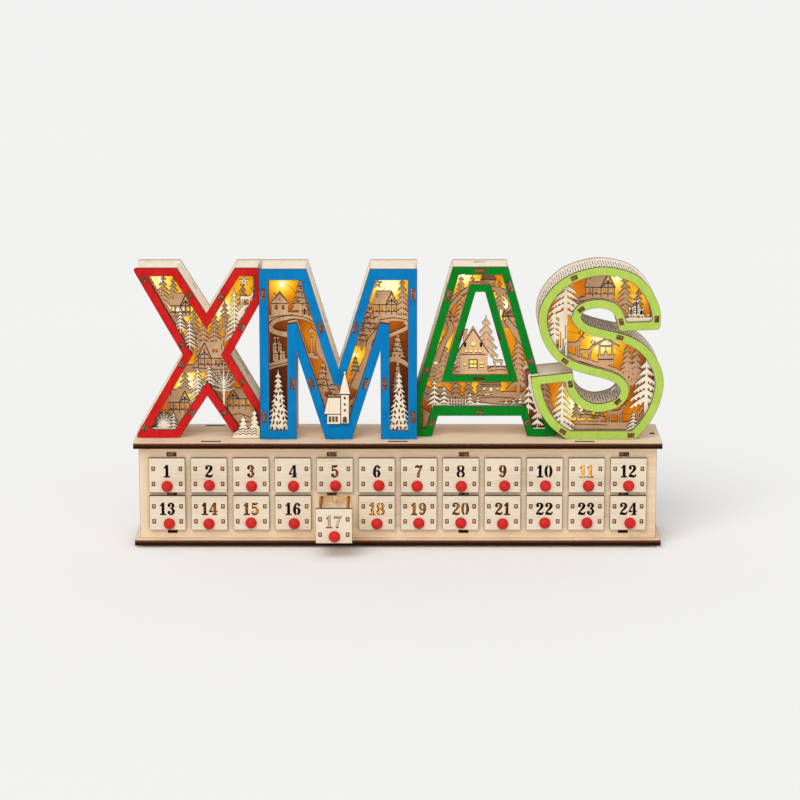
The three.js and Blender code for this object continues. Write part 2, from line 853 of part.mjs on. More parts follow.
for (const side of [-1, 1]) {
  for (const end of [-1, 1]) {
    const felt = new THREE.CylinderGeometry(feltDiameter / 2, feltDiameter / 2, feltThickness - seat, 12);
    felt.rotateX(Math.PI / 2);
    felt.translate(
      side * (plateWidth / 2 - feltInset),
      end < 0 ? feltSetback : plateDepth - feltSetback,
      (feltThickness - seat) / 2,
    );
    addPart(`felt_foot_${end < 0 ? "front" : "back"}_${side < 0 ? "left" : "right"}`, toSolid(felt), feltWhite);
  }
}

// A panel's tabs through both plates.
const tabLevels = [
  [feltThickness + seat, bottomPlateTop + overrun],
  [topPlateUnder - overrun, letterFloor - seat],
];
const plateTabs = (places, length, y0) =>
  joinAll(
    places.flatMap((x) => tabLevels.map(([z0, z1]) => box(x - length / 2, x + length / 2, y0, y0 + ply, z0, z1))),
  );

// Drawers are numbered in reading order: 1 is at the left of the upper row.
const drawerPlaces = Array.from({ length: columns * rows }, (none, i) => ({
  number: i + 1,
  x: ((i % columns) - (columns - 1) / 2) * columnPitch,
  floor: i < columns ? middleShelfTop : lowerShelfTop,
}));

// Openings of the front panel: a rounded stop tab hangs from each top edge.

function openingOutline(x, floor) {
  const top = floor + openingHeight;
  const half = openingWidth / 2;
  const stop = [
    point(x + stopWidth / 2, top),
    point(x + stopWidth / 4, top - stopLength),
    point(x - stopWidth / 4, top - stopLength),
    point(x - stopWidth / 2, top),
  ];
  return [point(x - half, floor), point(x + half, floor), point(x + half, top), ...stop, point(x - half, top)];
}

const shelfLevels = [lowerShelfTop - ply, middleShelfTop - ply, upperShelfUnder];
const shelfSlots = shelfLevels.flatMap((level) =>
  shelfTabPlaces.map((x) => slotHole(x, level + ply / 2, shelfTabLength, ply)),
);
const panelOutline = rectangle(-panelHalf, panelHalf, bottomPlateTop + seat, topPlateUnder - seat);
const openings = drawerPlaces.map(({ x, floor }) => openingOutline(x, floor));
addPart(
  "front_panel",
  uprightBoard(panelOutline, [...openings, ...shelfSlots], frontFace, frontInner).add(
    plateTabs(panelTabs, panelTabLength, frontFace),
  ),
  naturalPly,
);
addPart(
  "back_panel",
  uprightBoard(panelOutline, shelfSlots, backInner, backFace).add(plateTabs(panelTabs, panelTabLength, backInner)),
  naturalPly,
);
for (const side of [-1, 1]) {
  const x0 = side < 0 ? -panelHalf : panelHalf - ply;
  const body = box(x0, x0 + ply, frontInner + seat, backInner - seat, bottomPlateTop + seat, topPlateUnder - seat);
  const tabs = tabLevels.map(([z0, z1]) =>
    box(x0, x0 + ply, endTabY - endTabLength / 2, endTabY + endTabLength / 2, z0, z1),
  );
  addPart(`${side < 0 ? "left" : "right"}_end_panel`, joinAll([body, ...tabs]), naturalPly);
}

// Shelves tabbed through both panels. The middle and upper ones and the dividers between them make one grid.
function shelf(level) {
  const body = box(-shelfHalf, shelfHalf, frontInner + seat, backInner - seat, level, level + ply);
  const tabs = shelfTabPlaces.map((x) =>
    box(x - shelfTabLength / 2, x + shelfTabLength / 2, frontFace, backFace, level, level + ply),
  );
  return joinAll([body, ...tabs]);
}
addPart("lower_shelf", shelf(shelfLevels[0]), naturalPly);
const dividers = [];
for (let i = 0; i <= columns; i += 1) {
  const x = (i - columns / 2) * columnPitch;
  dividers.push(
    box(x - ply / 2, x + ply / 2, frontInner + seat, backInner - seat, lowerShelfTop + seat, upperShelfUnder + ply),
  );
}
addPart("drawer_grid", joinAll([shelf(shelfLevels[1]), shelf(shelfLevels[2]), ...dividers]), naturalPly);

// Stencil digits, drawn in a box 7.2 wide and 11 high and scaled to the digit height.
// Each digit is one or more cut-outs; bridges keep the islands of 0, 4, 6, 8 and 9 in place.
const digitBox = 11;
const bridge = 0.45;
const middle = 3.6;

function arc(cx, cz, rx, rz, from, to, steps) {
  const places = [];
  for (let i = 0; i <= steps; i += 1) {
    const angle = THREE.MathUtils.degToRad(from + ((to - from) * i) / steps);
    places.push([cx + rx * Math.cos(angle), cz + rz * Math.sin(angle)]);
  }
  return places;
}
const bridgeAngle = (rx) => THREE.MathUtils.radToDeg(Math.acos(bridge / rx));
const flipX = (places) => places.map(([x, z]) => [2 * middle - x, z]).reverse();
const turned = (places) => places.map(([x, z]) => [2 * middle - x, digitBox - z]);

const rightRing = (cz, rx, rz, innerX, innerZ) => [
  ...arc(middle, cz, rx, rz, -bridgeAngle(rx), bridgeAngle(rx), 4),
  ...arc(middle, cz, innerX, innerZ, bridgeAngle(innerX), -bridgeAngle(innerX), 2),
];
const zeroSide = rightRing(5.5, 3.3, 5.5, 1.4, 4.3);
const sixBowl = rightRing(3.4, 3.3, 3.4, 1.4, 2.1);
const sixBack = [
  ...arc(middle, 5.5, 3.3, 5.5, 55, 262, 6),
  ...arc(middle, 3.4, 1.4, 2.1, 251, 109, 2),
  [middle - bridge, 6.8],
  [2.2, 6],
  [2.4, 8.4],
  [3.6, 9.8],
  [4.6, 9],
];
const eightSide = [
  ...arc(middle, 3, 3.2, 3, -82, 58, 3),
  ...arc(middle, 8.1, 2.8, 2.9, -38, 81, 3),
  ...arc(middle, 8.1, 1.2, 1.75, 68, -68, 2),
  ...arc(middle, 3, 1.4, 1.85, 71, -71, 2),
];
const digitShapes = {
  0: [zeroSide, flipX(zeroSide)],
  1: [
    [
      [2, 0],
      [6, 0],
      [6, 1.2],
      [5, 1.2],
      [5, 11],
      [3.8, 11],
      [1.4, 9],
      [1.4, 8],
      [3, 8.5],
      [3, 1.2],
      [2, 1.2],
    ],
  ],
  2: [
    [
      [0.6, 0],
      [6.6, 0],
      [6.8, 2.8],
      [5.6, 1.7],
      [3.2, 1.7],
      [5.8, 5],
      [6.6, 8],
      [5.6, 10.3],
      [3.6, 11],
      [1.4, 10.2],
      [0.9, 8],
      [2.3, 7.6],
      [3.1, 9.6],
      [4.3, 9.4],
      [4.6, 8],
      [3.6, 5.6],
      [0.6, 1.6],
    ],
  ],
  3: [
    [
      [0.7, 1.4],
      [2.4, 0],
      [4.8, 0.1],
      [6.5, 1.8],
      [6.4, 4.4],
      [5.2, 5.9],
      [6.3, 8.4],
      [5.6, 10.4],
      [3.6, 11],
      [1.2, 9.8],
      [1, 8.2],
      [2.3, 8],
      [3, 9.6],
      [4.2, 9.2],
      [4.3, 7.4],
      [2.6, 6.3],
      [2.6, 5.3],
      [4.4, 4.6],
      [4.5, 2.4],
      [3, 1.4],
      [2.2, 3],
      [0.9, 3],
    ],
  ],
  4: [
    [
      [0.4, 2.6],
      [3.8, 2.6],
      [3.8, 3.9],
      [1.9, 3.9],
      [3.8, 8],
      [3.8, 10.9],
      [0.4, 4],
    ],
    [
      [4.6, 0],
      [6.2, 0],
      [6.2, 2.6],
      [7, 2.6],
      [7, 3.9],
      [6.2, 3.9],
      [6.2, 11],
      [4.6, 11],
    ],
  ],
  5: [
    [
      [0.7, 1.6],
      [2.2, 0.1],
      [4.6, 0.1],
      [6.6, 2],
      [6.6, 5],
      [4.9, 7],
      [2.5, 7],
      [2.6, 9.4],
      [6, 9.4],
      [6, 11],
      [1.2, 11],
      [1.1, 5.2],
      [2.2, 5.2],
      [3.6, 5.8],
      [4.7, 4.6],
      [4.6, 2.2],
      [3, 1.4],
      [2.2, 3],
      [0.9, 3],
    ],
  ],
  6: [sixBack, sixBowl],
  7: [
    [
      [2, 0],
      [4, 0],
      [6.7, 9.4],
      [6.7, 11],
      [0.7, 11],
      [0.7, 8],
      [1.8, 8],
      [2.2, 9.3],
      [4.9, 9.3],
    ],
  ],
  8: [eightSide, flipX(eightSide)],
  9: [turned(sixBack), turned(sixBowl)],
};
const fullWidth = 7.2;
const digitWidth = (digit) => (digit === "1" ? 5.4 : fullWidth);

// Cut-outs of a number, centred on x, with the digits' top at z.
function numberHoles(number, x, top) {
  const scale = digitHeight / digitBox;
  const digits = String(number).split("");
  const width = digits.reduce((sum, digit) => sum + digitWidth(digit) * scale, digitGap * (digits.length - 1));
  let left = x - width / 2;
  const holes = [];
  digits.forEach((digit) => {
    const start = left - ((fullWidth - digitWidth(digit)) * scale) / 2;
    digitShapes[digit].forEach((places) =>
      holes.push(places.map(([a, b]) => point(start + a * scale, top - digitHeight + b * scale))),
    );
    left += digitWidth(digit) * scale + digitGap;
  });
  return holes;
}

// A drawer: open tray, overlay face with its number cut through, and a half-round knob.
function makeDrawer({ number, x, floor }) {
  const out = number === pulledDrawer ? pulledOut : 0;
  const faceFront = frontFace - ply - seat - out;
  const faceBack = faceFront + ply;
  const faceTop = floor + faceSize;
  const rear = frontFace + trayLength - out;
  const trayFoot = floor + clearance;
  const trayTop = trayFoot + trayHeight;
  const face = uprightBoard(
    rectangle(x - faceSize / 2, x + faceSize / 2, floor, faceTop),
    numberHoles(number, x, faceTop - digitDrop),
    faceFront,
    faceBack,
  );
  const tray = box(x - trayWidth / 2, x + trayWidth / 2, faceBack - overrun, rear, trayFoot, trayTop).subtract(
    box(
      x - trayWidth / 2 + ply,
      x + trayWidth / 2 - ply,
      faceBack,
      rear - ply,
      trayFoot + ply,
      trayTop + overrun,
    ),
  );
  const rings = 2;
  const profile = [point(0, -overrun), point(knobRadius, -overrun)];
  for (let i = 0; i <= rings; i += 1) {
    const angle = (Math.PI / 2) * (i / rings);
    profile.push(point(knobRadius * Math.cos(angle), knobRadius * Math.sin(angle)));
  }
  profile[profile.length - 1].x = 0;
  const knob = new THREE.LatheGeometry(profile, 9);
  knob.rotateX(Math.PI);
  knob.translate(x, faceFront, faceTop - knobDrop);
  addPart(`drawer_${String(number).padStart(2, "0")}`, joinAll([face, tray, toSolid(knob)]), naturalPly);
}
drawerPlaces.forEach(makeDrawer);

// Battery case: a box open to the rear, a cover that slides out sideways under two lips, and a switch.
const caseFoot = (bottomPlateTop + topPlateUnder - batteryHeight) / 2;
const caseTop = caseFoot + batteryHeight;
const caseLeft = batteryPlace - batteryLength / 2;
const caseRight = batteryPlace + batteryLength / 2;
const caseFront = backFace + seat;
const caseBack = caseFront + batteryDepth;
const coverBack = caseBack - doorLip;
const coverFront = coverBack - doorThickness;
const switchX = caseLeft + batteryLength / 4;
const switchY = caseFront + batteryDepth / 2;
addPart(
  "battery_case",
  box(caseLeft, caseRight, caseFront, caseBack, caseFoot, caseTop)
    .subtract(
      box(
        caseLeft + batteryWall,
        caseRight - batteryWall,
        caseFront + batteryWall,
        coverFront,
        caseFoot + batteryWall,
        caseTop - batteryWall,
      ),
    )
    .subtract(
      box(
        caseLeft + batteryWall,
        caseRight + overrun,
        coverFront - clearance,
        coverBack + clearance,
        caseFoot + batteryWall / 2,
        caseTop - batteryWall / 2,
      ),
    )
    .subtract(
      box(
        caseLeft + batteryWall,
        caseRight + overrun,
        coverFront,
        caseBack + overrun,
        caseFoot + batteryWall + doorLip,
        caseTop - batteryWall - doorLip,
      ),
    )
    .subtract(
      box(
        switchX - (switchLength + switchTravel) / 2 - clearance,
        switchX + (switchLength + switchTravel) / 2 + clearance,
        switchY - switchSlotWidth / 2 - clearance,
        switchY + switchSlotWidth / 2 + clearance,
        caseTop - batteryWall - overrun,
        caseTop + overrun,
      ),
    ),
  casePlastic,
);
addPart(
  "battery_cover",
  box(
    caseLeft + batteryWall + clearance,
    caseRight,
    coverFront,
    coverBack,
    caseFoot + batteryWall / 2 + clearance,
    caseTop - batteryWall / 2 - clearance,
  ).add(
    box(
      caseRight - 3 * batteryWall,
      caseRight - 2 * batteryWall,
      coverBack - overrun,
      caseBack,
      caseFoot + batteryHeight / 3,
      caseTop - batteryHeight / 3,
    ),
  ),
  casePlastic,
);
const sliderX = switchX - switchTravel / 2;
addPart(
  "switch_slider",
  box(
    sliderX - switchLength / 2,
    sliderX + switchLength / 2,
    switchY - switchSlotWidth / 2,
    switchY + switchSlotWidth / 2,
    caseTop - batteryWall - overrun,
    caseTop + switchProud,
  ).add(
    box(
      sliderX - switchLength / 2 - overrun,
      sliderX + switchLength / 2 + overrun,
      switchY - switchSlotWidth / 2 - overrun,
      switchY + switchSlotWidth / 2 + overrun,
      caseTop - batteryWall - clearance - switchFlange,
      caseTop - batteryWall - clearance,
    ),
  ),
  switchPlastic,
);

export default calendar;
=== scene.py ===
# Wooden advent calendar: a case of 24 small drawers under four lit box letters.
import math
import random
from collections import Counter

import bmesh
import bpy
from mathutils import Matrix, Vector
from mathutils.geometry import delaunay_2d_cdt


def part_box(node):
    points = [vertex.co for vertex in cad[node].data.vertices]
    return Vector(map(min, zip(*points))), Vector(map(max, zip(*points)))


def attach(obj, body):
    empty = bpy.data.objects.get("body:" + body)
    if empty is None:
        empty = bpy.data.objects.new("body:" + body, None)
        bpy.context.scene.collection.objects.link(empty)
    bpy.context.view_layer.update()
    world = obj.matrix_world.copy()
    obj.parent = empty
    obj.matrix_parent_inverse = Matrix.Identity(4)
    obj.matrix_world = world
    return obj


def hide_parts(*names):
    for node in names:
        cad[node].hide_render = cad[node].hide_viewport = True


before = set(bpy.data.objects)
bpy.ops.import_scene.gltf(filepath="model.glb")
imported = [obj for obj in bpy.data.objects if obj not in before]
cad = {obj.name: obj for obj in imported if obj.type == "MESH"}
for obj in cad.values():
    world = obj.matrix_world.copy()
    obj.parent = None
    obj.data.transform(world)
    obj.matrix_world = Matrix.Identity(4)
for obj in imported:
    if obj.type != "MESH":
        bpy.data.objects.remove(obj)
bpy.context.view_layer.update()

# The table and the light: a pale floor without a seam, a bright room, one large soft lamp above the
# front left and a weaker one at the front right. The camera stands 2.5 m away with a long lens and
# looks down a little.
scene = bpy.context.scene
mm = 0.001
plate_low, plate_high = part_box("top_plate")
middle = (plate_low.x + plate_high.x) / 2


def linear(red, green, blue):
    """A colour as the screen shows it, 0 to 255, as the light values that shaders use."""
    return [((c / 255 + 0.055) / 1.055) ** 2.4 if c > 10 else c / 3294.6 for c in (red, green, blue)] + [1]


def finish(name, roughness, colour=(200, 200, 200)):
    made = bpy.data.materials.new(name)
    made.use_nodes = True
    surface = made.node_tree.nodes["Principled BSDF"]
    surface.inputs["Roughness"].default_value = roughness
    surface.inputs["Base Color"].default_value = linear(*colour)
    return made, surface


def add_node(finish_made, kind, inputs, **settings):
    tree = finish_made.node_tree
    made = tree.nodes.new("ShaderNode" + kind)
    for key, value in settings.items():
        setattr(made, key, value)
    for key, value in inputs.items():
        if isinstance(value, bpy.types.NodeSocket):
            tree.links.new(value, made.inputs[key])
        else:
            made.inputs[key].default_value = value
    return made


def ramp(finish_made, factor, stops):
    made = add_node(finish_made, "ValToRGB", {"Fac": factor})
    band = made.color_ramp
    while len(band.elements) < len(stops):
        band.elements.new(0.5)
    for element, (place, colour) in zip(band.elements, stops):
        element.position = place
        element.color = linear(*colour)
    return made.outputs["Color"]


def link(finish_made, output, surface, name):
    finish_made.node_tree.links.new(output, surface.inputs[name])


def tint(finish_made, surface, factor, stops, name="Base Color"):
    link(finish_made, ramp(finish_made, factor, stops), surface, name)


def noise(finish_made, scale, detail=2.0, **more):
    """Clouds or specks: a higher scale makes them finer, more detail makes them rougher."""
    return add_node(finish_made, "TexNoise", {"Scale": scale, "Detail": detail, **more}).outputs["Fac"]


def object_from(name, data):
    made = bpy.data.objects.new(name, data)
    scene.collection.objects.link(made)
    return made


floor_reach = 12
floor_sides = 48
floor_mesh = bpy.data.meshes.new("floor")
turns = [2 * math.pi * k / floor_sides for k in range(floor_sides)]
floor_mesh.from_pydata([(floor_reach * math.cos(a), floor_reach * math.sin(a), 0) for a in turns], [],
                       [range(floor_sides)])
floor = object_from("floor", floor_mesh)
floor_finish, floor_surface = finish("floor_paper", 0.9, (245, 245, 245))
tint(floor_finish, floor_surface, noise(floor_finish, 30.0), [(0, (244, 244, 244)), (1, (246, 246, 246))])
floor.data.materials.append(floor_finish)

world = bpy.data.worlds.new("room")
world.use_nodes = True
room_colour = (1, 0.995, 0.985, 1)
room_brightness = 0.62
world.node_tree.nodes["Background"].inputs["Color"].default_value = room_colour
world.node_tree.nodes["Background"].inputs["Strength"].default_value = room_brightness
scene.world = world
scene.view_settings.view_transform = "Standard"


def soft_lamp(name, spread, strength, tilt, turn):
    lamp = bpy.data.lights.new(name, "SUN")
    lamp.angle = math.radians(spread)
    lamp.energy = strength
    made = object_from(name, lamp)
    made.rotation_euler = (math.radians(tilt), 0, math.radians(turn))


soft_lamp("key_lamp", spread=40, strength=1.35, tilt=42, turn=-24)
soft_lamp("front_lamp", spread=70, strength=0.35, tilt=66, turn=18)

lens_length = 132.1
camera_tilt = 12.47
camera_aside = 0.00196
camera_distance = 2.5083
camera_height = 0.594
camera = object_from("camera", bpy.data.cameras.new("camera"))
camera.data.lens = lens_length
camera.data.sensor_width = 36
camera.data.clip_end = 60
camera.location = (middle + camera_aside, plate_low.y - camera_distance, plate_high.z + camera_height)
camera.rotation_euler = (math.radians(90 - camera_tilt), 0, 0)
scene.camera = camera

# The two plates: thick plywood cut by laser, so the faces are bare birch and the edges are charred,
# with the glue line darkest. The case stands on the lower one and the letters are tabbed into the upper.
ply_light = (240, 215, 186)
ply_dark = (222, 187, 150)


def own_place(finish_made):
    return add_node(finish_made, "TexCoord", {}).outputs["Object"]


def stretched(finish_made, place, scale):
    return add_node(finish_made, "Mapping", {"Vector": place, "Scale": scale}).outputs["Vector"]


def maths(finish_made, operation, first, second):
    return add_node(finish_made, "Math", {0: first, 1: second}, operation=operation).outputs[0]


def mixed_colours(finish_made, share, first, second, blend="MIX"):
    """Two colours mixed: the mixer's sockets 0, 6, 7 and 2 are the share, both colours and the result."""
    mixer = add_node(finish_made, "Mix", {0: share, 6: first, 7: second}, data_type="RGBA", blend_type=blend)
    return mixer.outputs[2]


def relief(finish_made, surface, height, strength, distance):
    bump = add_node(finish_made, "Bump", {"Height": height, "Strength": strength, "Distance": distance})
    link(finish_made, bump.outputs["Normal"], surface, "Normal")


def plywood(name, light, dark, grain):
    """Birch veneer: broad bands and fine fibres that run along the grain axis."""
    made, surface = finish(name, 0.6)
    place = own_place(made)
    along = stretched(made, place, [0.05 if axis == grain else 1.0 for axis in "XYZ"])
    bands = noise(made, 130.0, 4.0, Vector=along, Roughness=0.6)
    fibres = noise(made, 1500.0, Vector=along)
    clouds = noise(made, 22.0, 1.0, Vector=place)
    mixed = maths(made, "ADD", maths(made, "ADD", bands, fibres), clouds)
    level = add_node(made, "MapRange", {"Value": mixed, "From Min": 1.05, "From Max": 1.95}).outputs["Result"]
    brightest = tuple(min(255, c + 6) for c in light)
    tint(made, surface, level, [(0, dark), (0.45, light), (1, brightest)])
    relief(made, surface, fibres, 0.12, 0.0002)
    return made


def charred(name, outer, core, line):
    """Laser-cut edge: outer plies, the darker line of the middle ply, and soot in fine streaks."""
    made, surface = finish(name, 0.85)
    surface.inputs["Specular IOR Level"].default_value = 0.12
    sheet_map = add_node(made, "UVMap", {}, uv_map="sheet").outputs["UV"]
    depth = add_node(made, "SeparateXYZ", {"Vector": sheet_map}).outputs["Y"]
    plies = ramp(made, depth, [
        (0, core), (0.08, outer), (0.36, outer), (0.46, line), (0.54, line), (0.66, core), (1, line),
    ])
    soot = noise(made, 700.0, 3.0, Vector=own_place(made))
    shade = ramp(made, soot, [(0.25, (150, 150, 150)), (0.75, (255, 255, 255))])
    link(made, mixed_colours(made, 1.0, plies, shade, "MULTIPLY"), surface, "Base Color")
    return made


def turn_area(outline):
    return sum(a[0] * b[1] - b[0] * a[1] for a, b in zip(outline, outline[1:] + outline[:1])) / 2


def outlines(node, axis, side):
    """Closed outlines in mm of a board's low (0) or high (1) face, read from the construction."""
    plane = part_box(node)[side][axis]
    across = [a for a in range(3) if a != axis]
    mesh = cad[node].data
    edges = set()
    for polygon in mesh.polygons:
        corners = [mesh.vertices[i].co for i in polygon.vertices]
        if any(abs(corner[axis] - plane) > 2e-5 for corner in corners):
            continue
        places = [tuple(round(corner[a] / mm, 3) for a in across) for corner in corners]
        for a, b in zip(places, places[1:] + places[:1]):
            if (b, a) in edges:
                edges.remove((b, a))
            else:
                edges.add((a, b))
    ahead = {}
    for a, b in sorted(edges):
        ahead.setdefault(a, []).append(b)
    loops = []
    while ahead:
        start = min(ahead)
        loop = [start]
        here = ahead[start].pop()
        while here != start:
            loop.append(here)
            here = ahead[here].pop()
        ahead = {a: ends for a, ends in ahead.items() if ends}
        loops.append(loop)
    return sorted(loops, key=lambda loop: -abs(turn_area(loop)))


def standing(front):
    """Places a board that stands across the case, its face at y = front (mm)."""
    return lambda u, v, depth: (u * mm, (front + depth) * mm, v * mm)


def lying(top):
    return lambda u, v, depth: (u * mm, v * mm, (top - depth) * mm)


def endways(left):
    return lambda u, v, depth: ((left + depth) * mm, u * mm, v * mm)


def edge_owners(triangles):
    """The triangle that each edge belongs to, by its two ends in order."""
    owner = {}
    for i, corners in enumerate(triangles):
        for a, b in zip(corners, corners[1:] + corners[:1]):
            owner[(a, b)] = i
    return owner


def round_fans(triangles):
    """Numbers the fans of triangles round each vertex, by (triangle, vertex), and lists the open edges."""
    owner = edge_owners(triangles)
    fans = {}
    count = 0
    for i, corners in enumerate(triangles):
        for v in corners:
            if (i, v) in fans:
                continue
            waiting = [i]
            fans[(i, v)] = count
            while waiting:
                j = waiting.pop()
                t = triangles[j]
                k = t.index(v)
                for edge in ((t[(k + 1) % 3], v), (v, t[k - 1])):
                    beside = owner.get(edge)
                    if beside is not None and (beside, v) not in fans:
                        fans[(beside, v)] = count
                        waiting.append(beside)
            count += 1
    open_edges = [(a, b, i) for (a, b), i in owner.items() if (b, a) not in owner]
    return fans, open_edges, count


def inward(places, fans, open_edges, count, distance):
    """How far each fan's vertex moves in from the cut, as a mitre."""
    leaving = [None] * count
    arriving = [None] * count
    for a, b, i in open_edges:
        run = places[b] - places[a]
        if run.length > 1e-9:
            normal = Vector((-run.y, run.x)) / run.length
            leaving[fans[(i, a)]] = normal
            arriving[fans[(i, b)]] = normal
    moves = []
    for n0, n1 in zip(arriving, leaving):
        if n0 is None or n1 is None:
            moves.append((n0 or n1 or Vector((0, 0))) * distance)
            continue
        both = n0 + n1
        reach = distance / max(0.35, 1 + n0.dot(n1))
        moves.append(both * reach)
    return moves


def cut_sheet(name, shapes, inside, place, thickness, looks, char=0.22, whole=False):
    """A laser-cut sheet: the parts of a flat drawing where inside() holds, with charred rims and walls.

    shapes lists outlines in mm by label; "line" outlines are engraved. looks: face, edge and back finish.
    """
    labels = []
    faces = []
    points = []
    for label, polygons in shapes.items():
        for polygon in polygons:
            polygon = list(polygon)
            if turn_area(polygon) < 0:
                polygon.reverse()
            faces.append(list(range(len(points), len(points) + len(polygon))))
            points += [Vector(p[:2]) for p in polygon]
            labels.append(label)
    places, _, triangles, _, _, owners = delaunay_2d_cdt(points, [], faces, 0, 1e-4, True)
    kept = []
    engraved = []
    for corners, ids in zip(triangles, owners):
        marks = Counter(labels[i] for i in ids)
        if inside(marks):
            kept.append(tuple(corners))
            engraved.append(marks["line"] > 0)
    if whole:
        kept, engraved = main_body(places, kept, engraved)
    fans, edges, count = round_fans(kept)
    top = [i for i, grooved in enumerate(engraved) if not grooved]
    top_fans, top_edges, top_count = round_fans([kept[i] for i in top])
    groove = min(char * 0.8, thickness * 0.3)
    verts = []
    where = {}

    def vertex(layer, fan, at, depth):
        key = (layer, fan)
        if key not in where:
            where[key] = len(verts)
            verts.append(place(at.x, at.y, depth))
        return where[key]

    moves = inward(places, fans, edges, count, char)
    top_moves = inward(places, top_fans, top_edges, top_count, char)

    def front(j, v):
        fan = top_fans[(j, v)]
        return vertex("front", fan, places[v] + top_moves[fan], 0)

    def upper(i, v):
        return vertex("upper", fans[(i, v)], places[v], groove)

    def lower(i, v):
        return vertex("lower", fans[(i, v)], places[v], thickness - groove)

    def back(i, v):
        fan = fans[(i, v)]
        return vertex("back", fan, places[v] + moves[fan], thickness)

    made = []
    slots = []
    depths = []
    face_look, edge_look, back_look = range(3)

    def add_face(corners, look, shares):
        made.append(corners)
        slots.append(look)
        depths.append(shares)

    for j, i in enumerate(top):
        add_face([front(j, v) for v in kept[i]], face_look, (0, 0, 0))
    for i, corners in enumerate(kept):
        add_face([back(i, v) for v in reversed(corners)], back_look, (1, 1, 1))
        if engraved[i]:
            add_face([upper(i, v) for v in corners], edge_look, (0, 0, 0))
    near = groove / thickness
    far = 1 - near
    for a, b, j in top_edges:
        i = top[j]
        add_face([front(j, b), front(j, a), upper(i, a), upper(i, b)], edge_look, (0, 0, near, near))
    for a, b, i in edges:
        add_face([upper(i, b), upper(i, a), lower(i, a), lower(i, b)], edge_look, (near, near, far, far))
        add_face([lower(i, b), lower(i, a), back(i, a), back(i, b)], edge_look, (far, far, 1, 1))
    mesh = bpy.data.meshes.new(name)
    mesh.from_pydata(verts, [], made)
    for look in looks:
        mesh.materials.append(look)
    mesh.polygons.foreach_set("material_index", slots)
    sheet_map = mesh.uv_layers.new(name="sheet")
    sheet_map.data.foreach_set("uv", [c for shares in depths for share in shares for c in (0.5, share)])
    shell = bmesh.new()
    shell.from_mesh(mesh)
    bmesh.ops.recalc_face_normals(shell, faces=shell.faces)
    shell.to_mesh(mesh)
    shell.free()
    return object_from(name, mesh)


def main_body(places, kept, engraved):
    """Drops what would fall out of the sheet: all but the largest joined part."""
    owner = edge_owners(kept)
    group = [None] * len(kept)
    sizes = []
    for start in range(len(kept)):
        if group[start] is not None:
            continue
        group[start] = len(sizes)
        waiting = [start]
        size = 0
        while waiting:
            i = waiting.pop()
            corners = kept[i]
            size += abs(turn_area([places[v] for v in corners]))
            for a, b in zip(corners, corners[1:] + corners[:1]):
                beside = owner.get((b, a))
                if beside is not None and group[beside] is None:
                    group[beside] = group[start]
                    waiting.append(beside)
        sizes.append(size)
    best = sizes.index(max(sizes))
    chosen = [i for i in range(len(kept)) if group[i] == best]
    return [kept[i] for i in chosen], [engraved[i] for i in chosen]


def dress(piece, body, slot, *replaced):
    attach(piece, body)
    if replaced:
        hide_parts(*replaced)
    return piece


def board_from(node, axis, looks, slot, side=0):
    """The finished board that stands for a flat piece of the construction, with the same outline."""
    low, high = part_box(node)
    thickness = (high[axis] - low[axis]) / mm
    holder = [endways(low.x / mm), standing(low.y / mm), lying(high.z / mm)][axis]
    shapes = {"outline": outlines(node, axis, side)}
    piece = cut_sheet(node + "_board", shapes, lambda marks: marks["outline"] % 2, holder, thickness, looks)
    return dress(piece, "case", slot, node)


plate_ply = plywood("plate_birch", ply_light, ply_dark, "X")
plate_edge = charred("plate_char", (124, 66, 32), (54, 20, 8), (20, 5, 2))
for plate in ("top_plate", "bottom_plate"):
    board_from(plate, 2, (plate_ply, plate_edge, plate_ply), "natural_ply", side=1)

# Four discs of pressed wool felt under the lower plate, cut with a punch and glued on.
felt, felt_surface = finish("pressed_felt", 0.95, (240, 236, 224))
fluff = noise(felt, 1800.0, 5.0)
tint(felt, felt_surface, fluff, [(0.3, (222, 216, 200)), (0.7, (248, 245, 236))])
relief(felt, felt_surface, fluff, 0.5, 0.0004)


def turned(name, profile, centre, axis, sides, looks):
    """A round piece turned about an axis; profile lists (radius, height) in mm from the axis to the axis."""
    spun = bmesh.new()
    rings = []
    for radius, height in profile:
        if radius < 1e-6:
            rings.append([spun.verts.new((0, 0, height))])
            continue
        ring = [2 * math.pi * k / sides for k in range(sides)]
        rings.append([spun.verts.new((radius * math.cos(a), radius * math.sin(a), height)) for a in ring])
    for low, high in zip(rings, rings[1:]):
        for k in range(sides):
            after = (k + 1) % sides
            corners = [low[k % len(low)], low[after % len(low)], high[after % len(high)], high[k % len(high)]]
            spun.faces.new(list(dict.fromkeys(corners)))
    bmesh.ops.recalc_face_normals(spun, faces=spun.faces)
    for vert in spun.verts:
        x, y, z = vert.co
        along = {"Z": (x, y, z), "-Y": (x, -z, y), "Y": (x, z, -y)}[axis]
        vert.co = [(a + b) * mm for a, b in zip(along, centre)]
    mesh = bpy.data.meshes.new(name)
    spun.to_mesh(mesh)
    spun.free()
    for look in looks:
        mesh.materials.append(look)
    mesh.polygons.foreach_set("use_smooth", [True] * len(mesh.polygons))
    return object_from(name, mesh)


for foot in [name for name in sorted(cad) if name.startswith("felt_foot")]:
    low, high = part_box(foot)
    across = (high.x - low.x) / 2 / mm
    tall = (high.z - low.z) / mm
    pad = turned(
        foot + "_pad",
        [(0, 0), (across - 0.5, 0), (across, 0.5), (across, tall - 0.4), (across - 0.4, tall), (0, tall)],
        [(low.x + high.x) / 2 / mm, (low.y + high.y) / 2 / mm, low.z / mm],
        "Z",
        40,
        (felt,),
    )
    dress(pad, "case", "felt", foot)

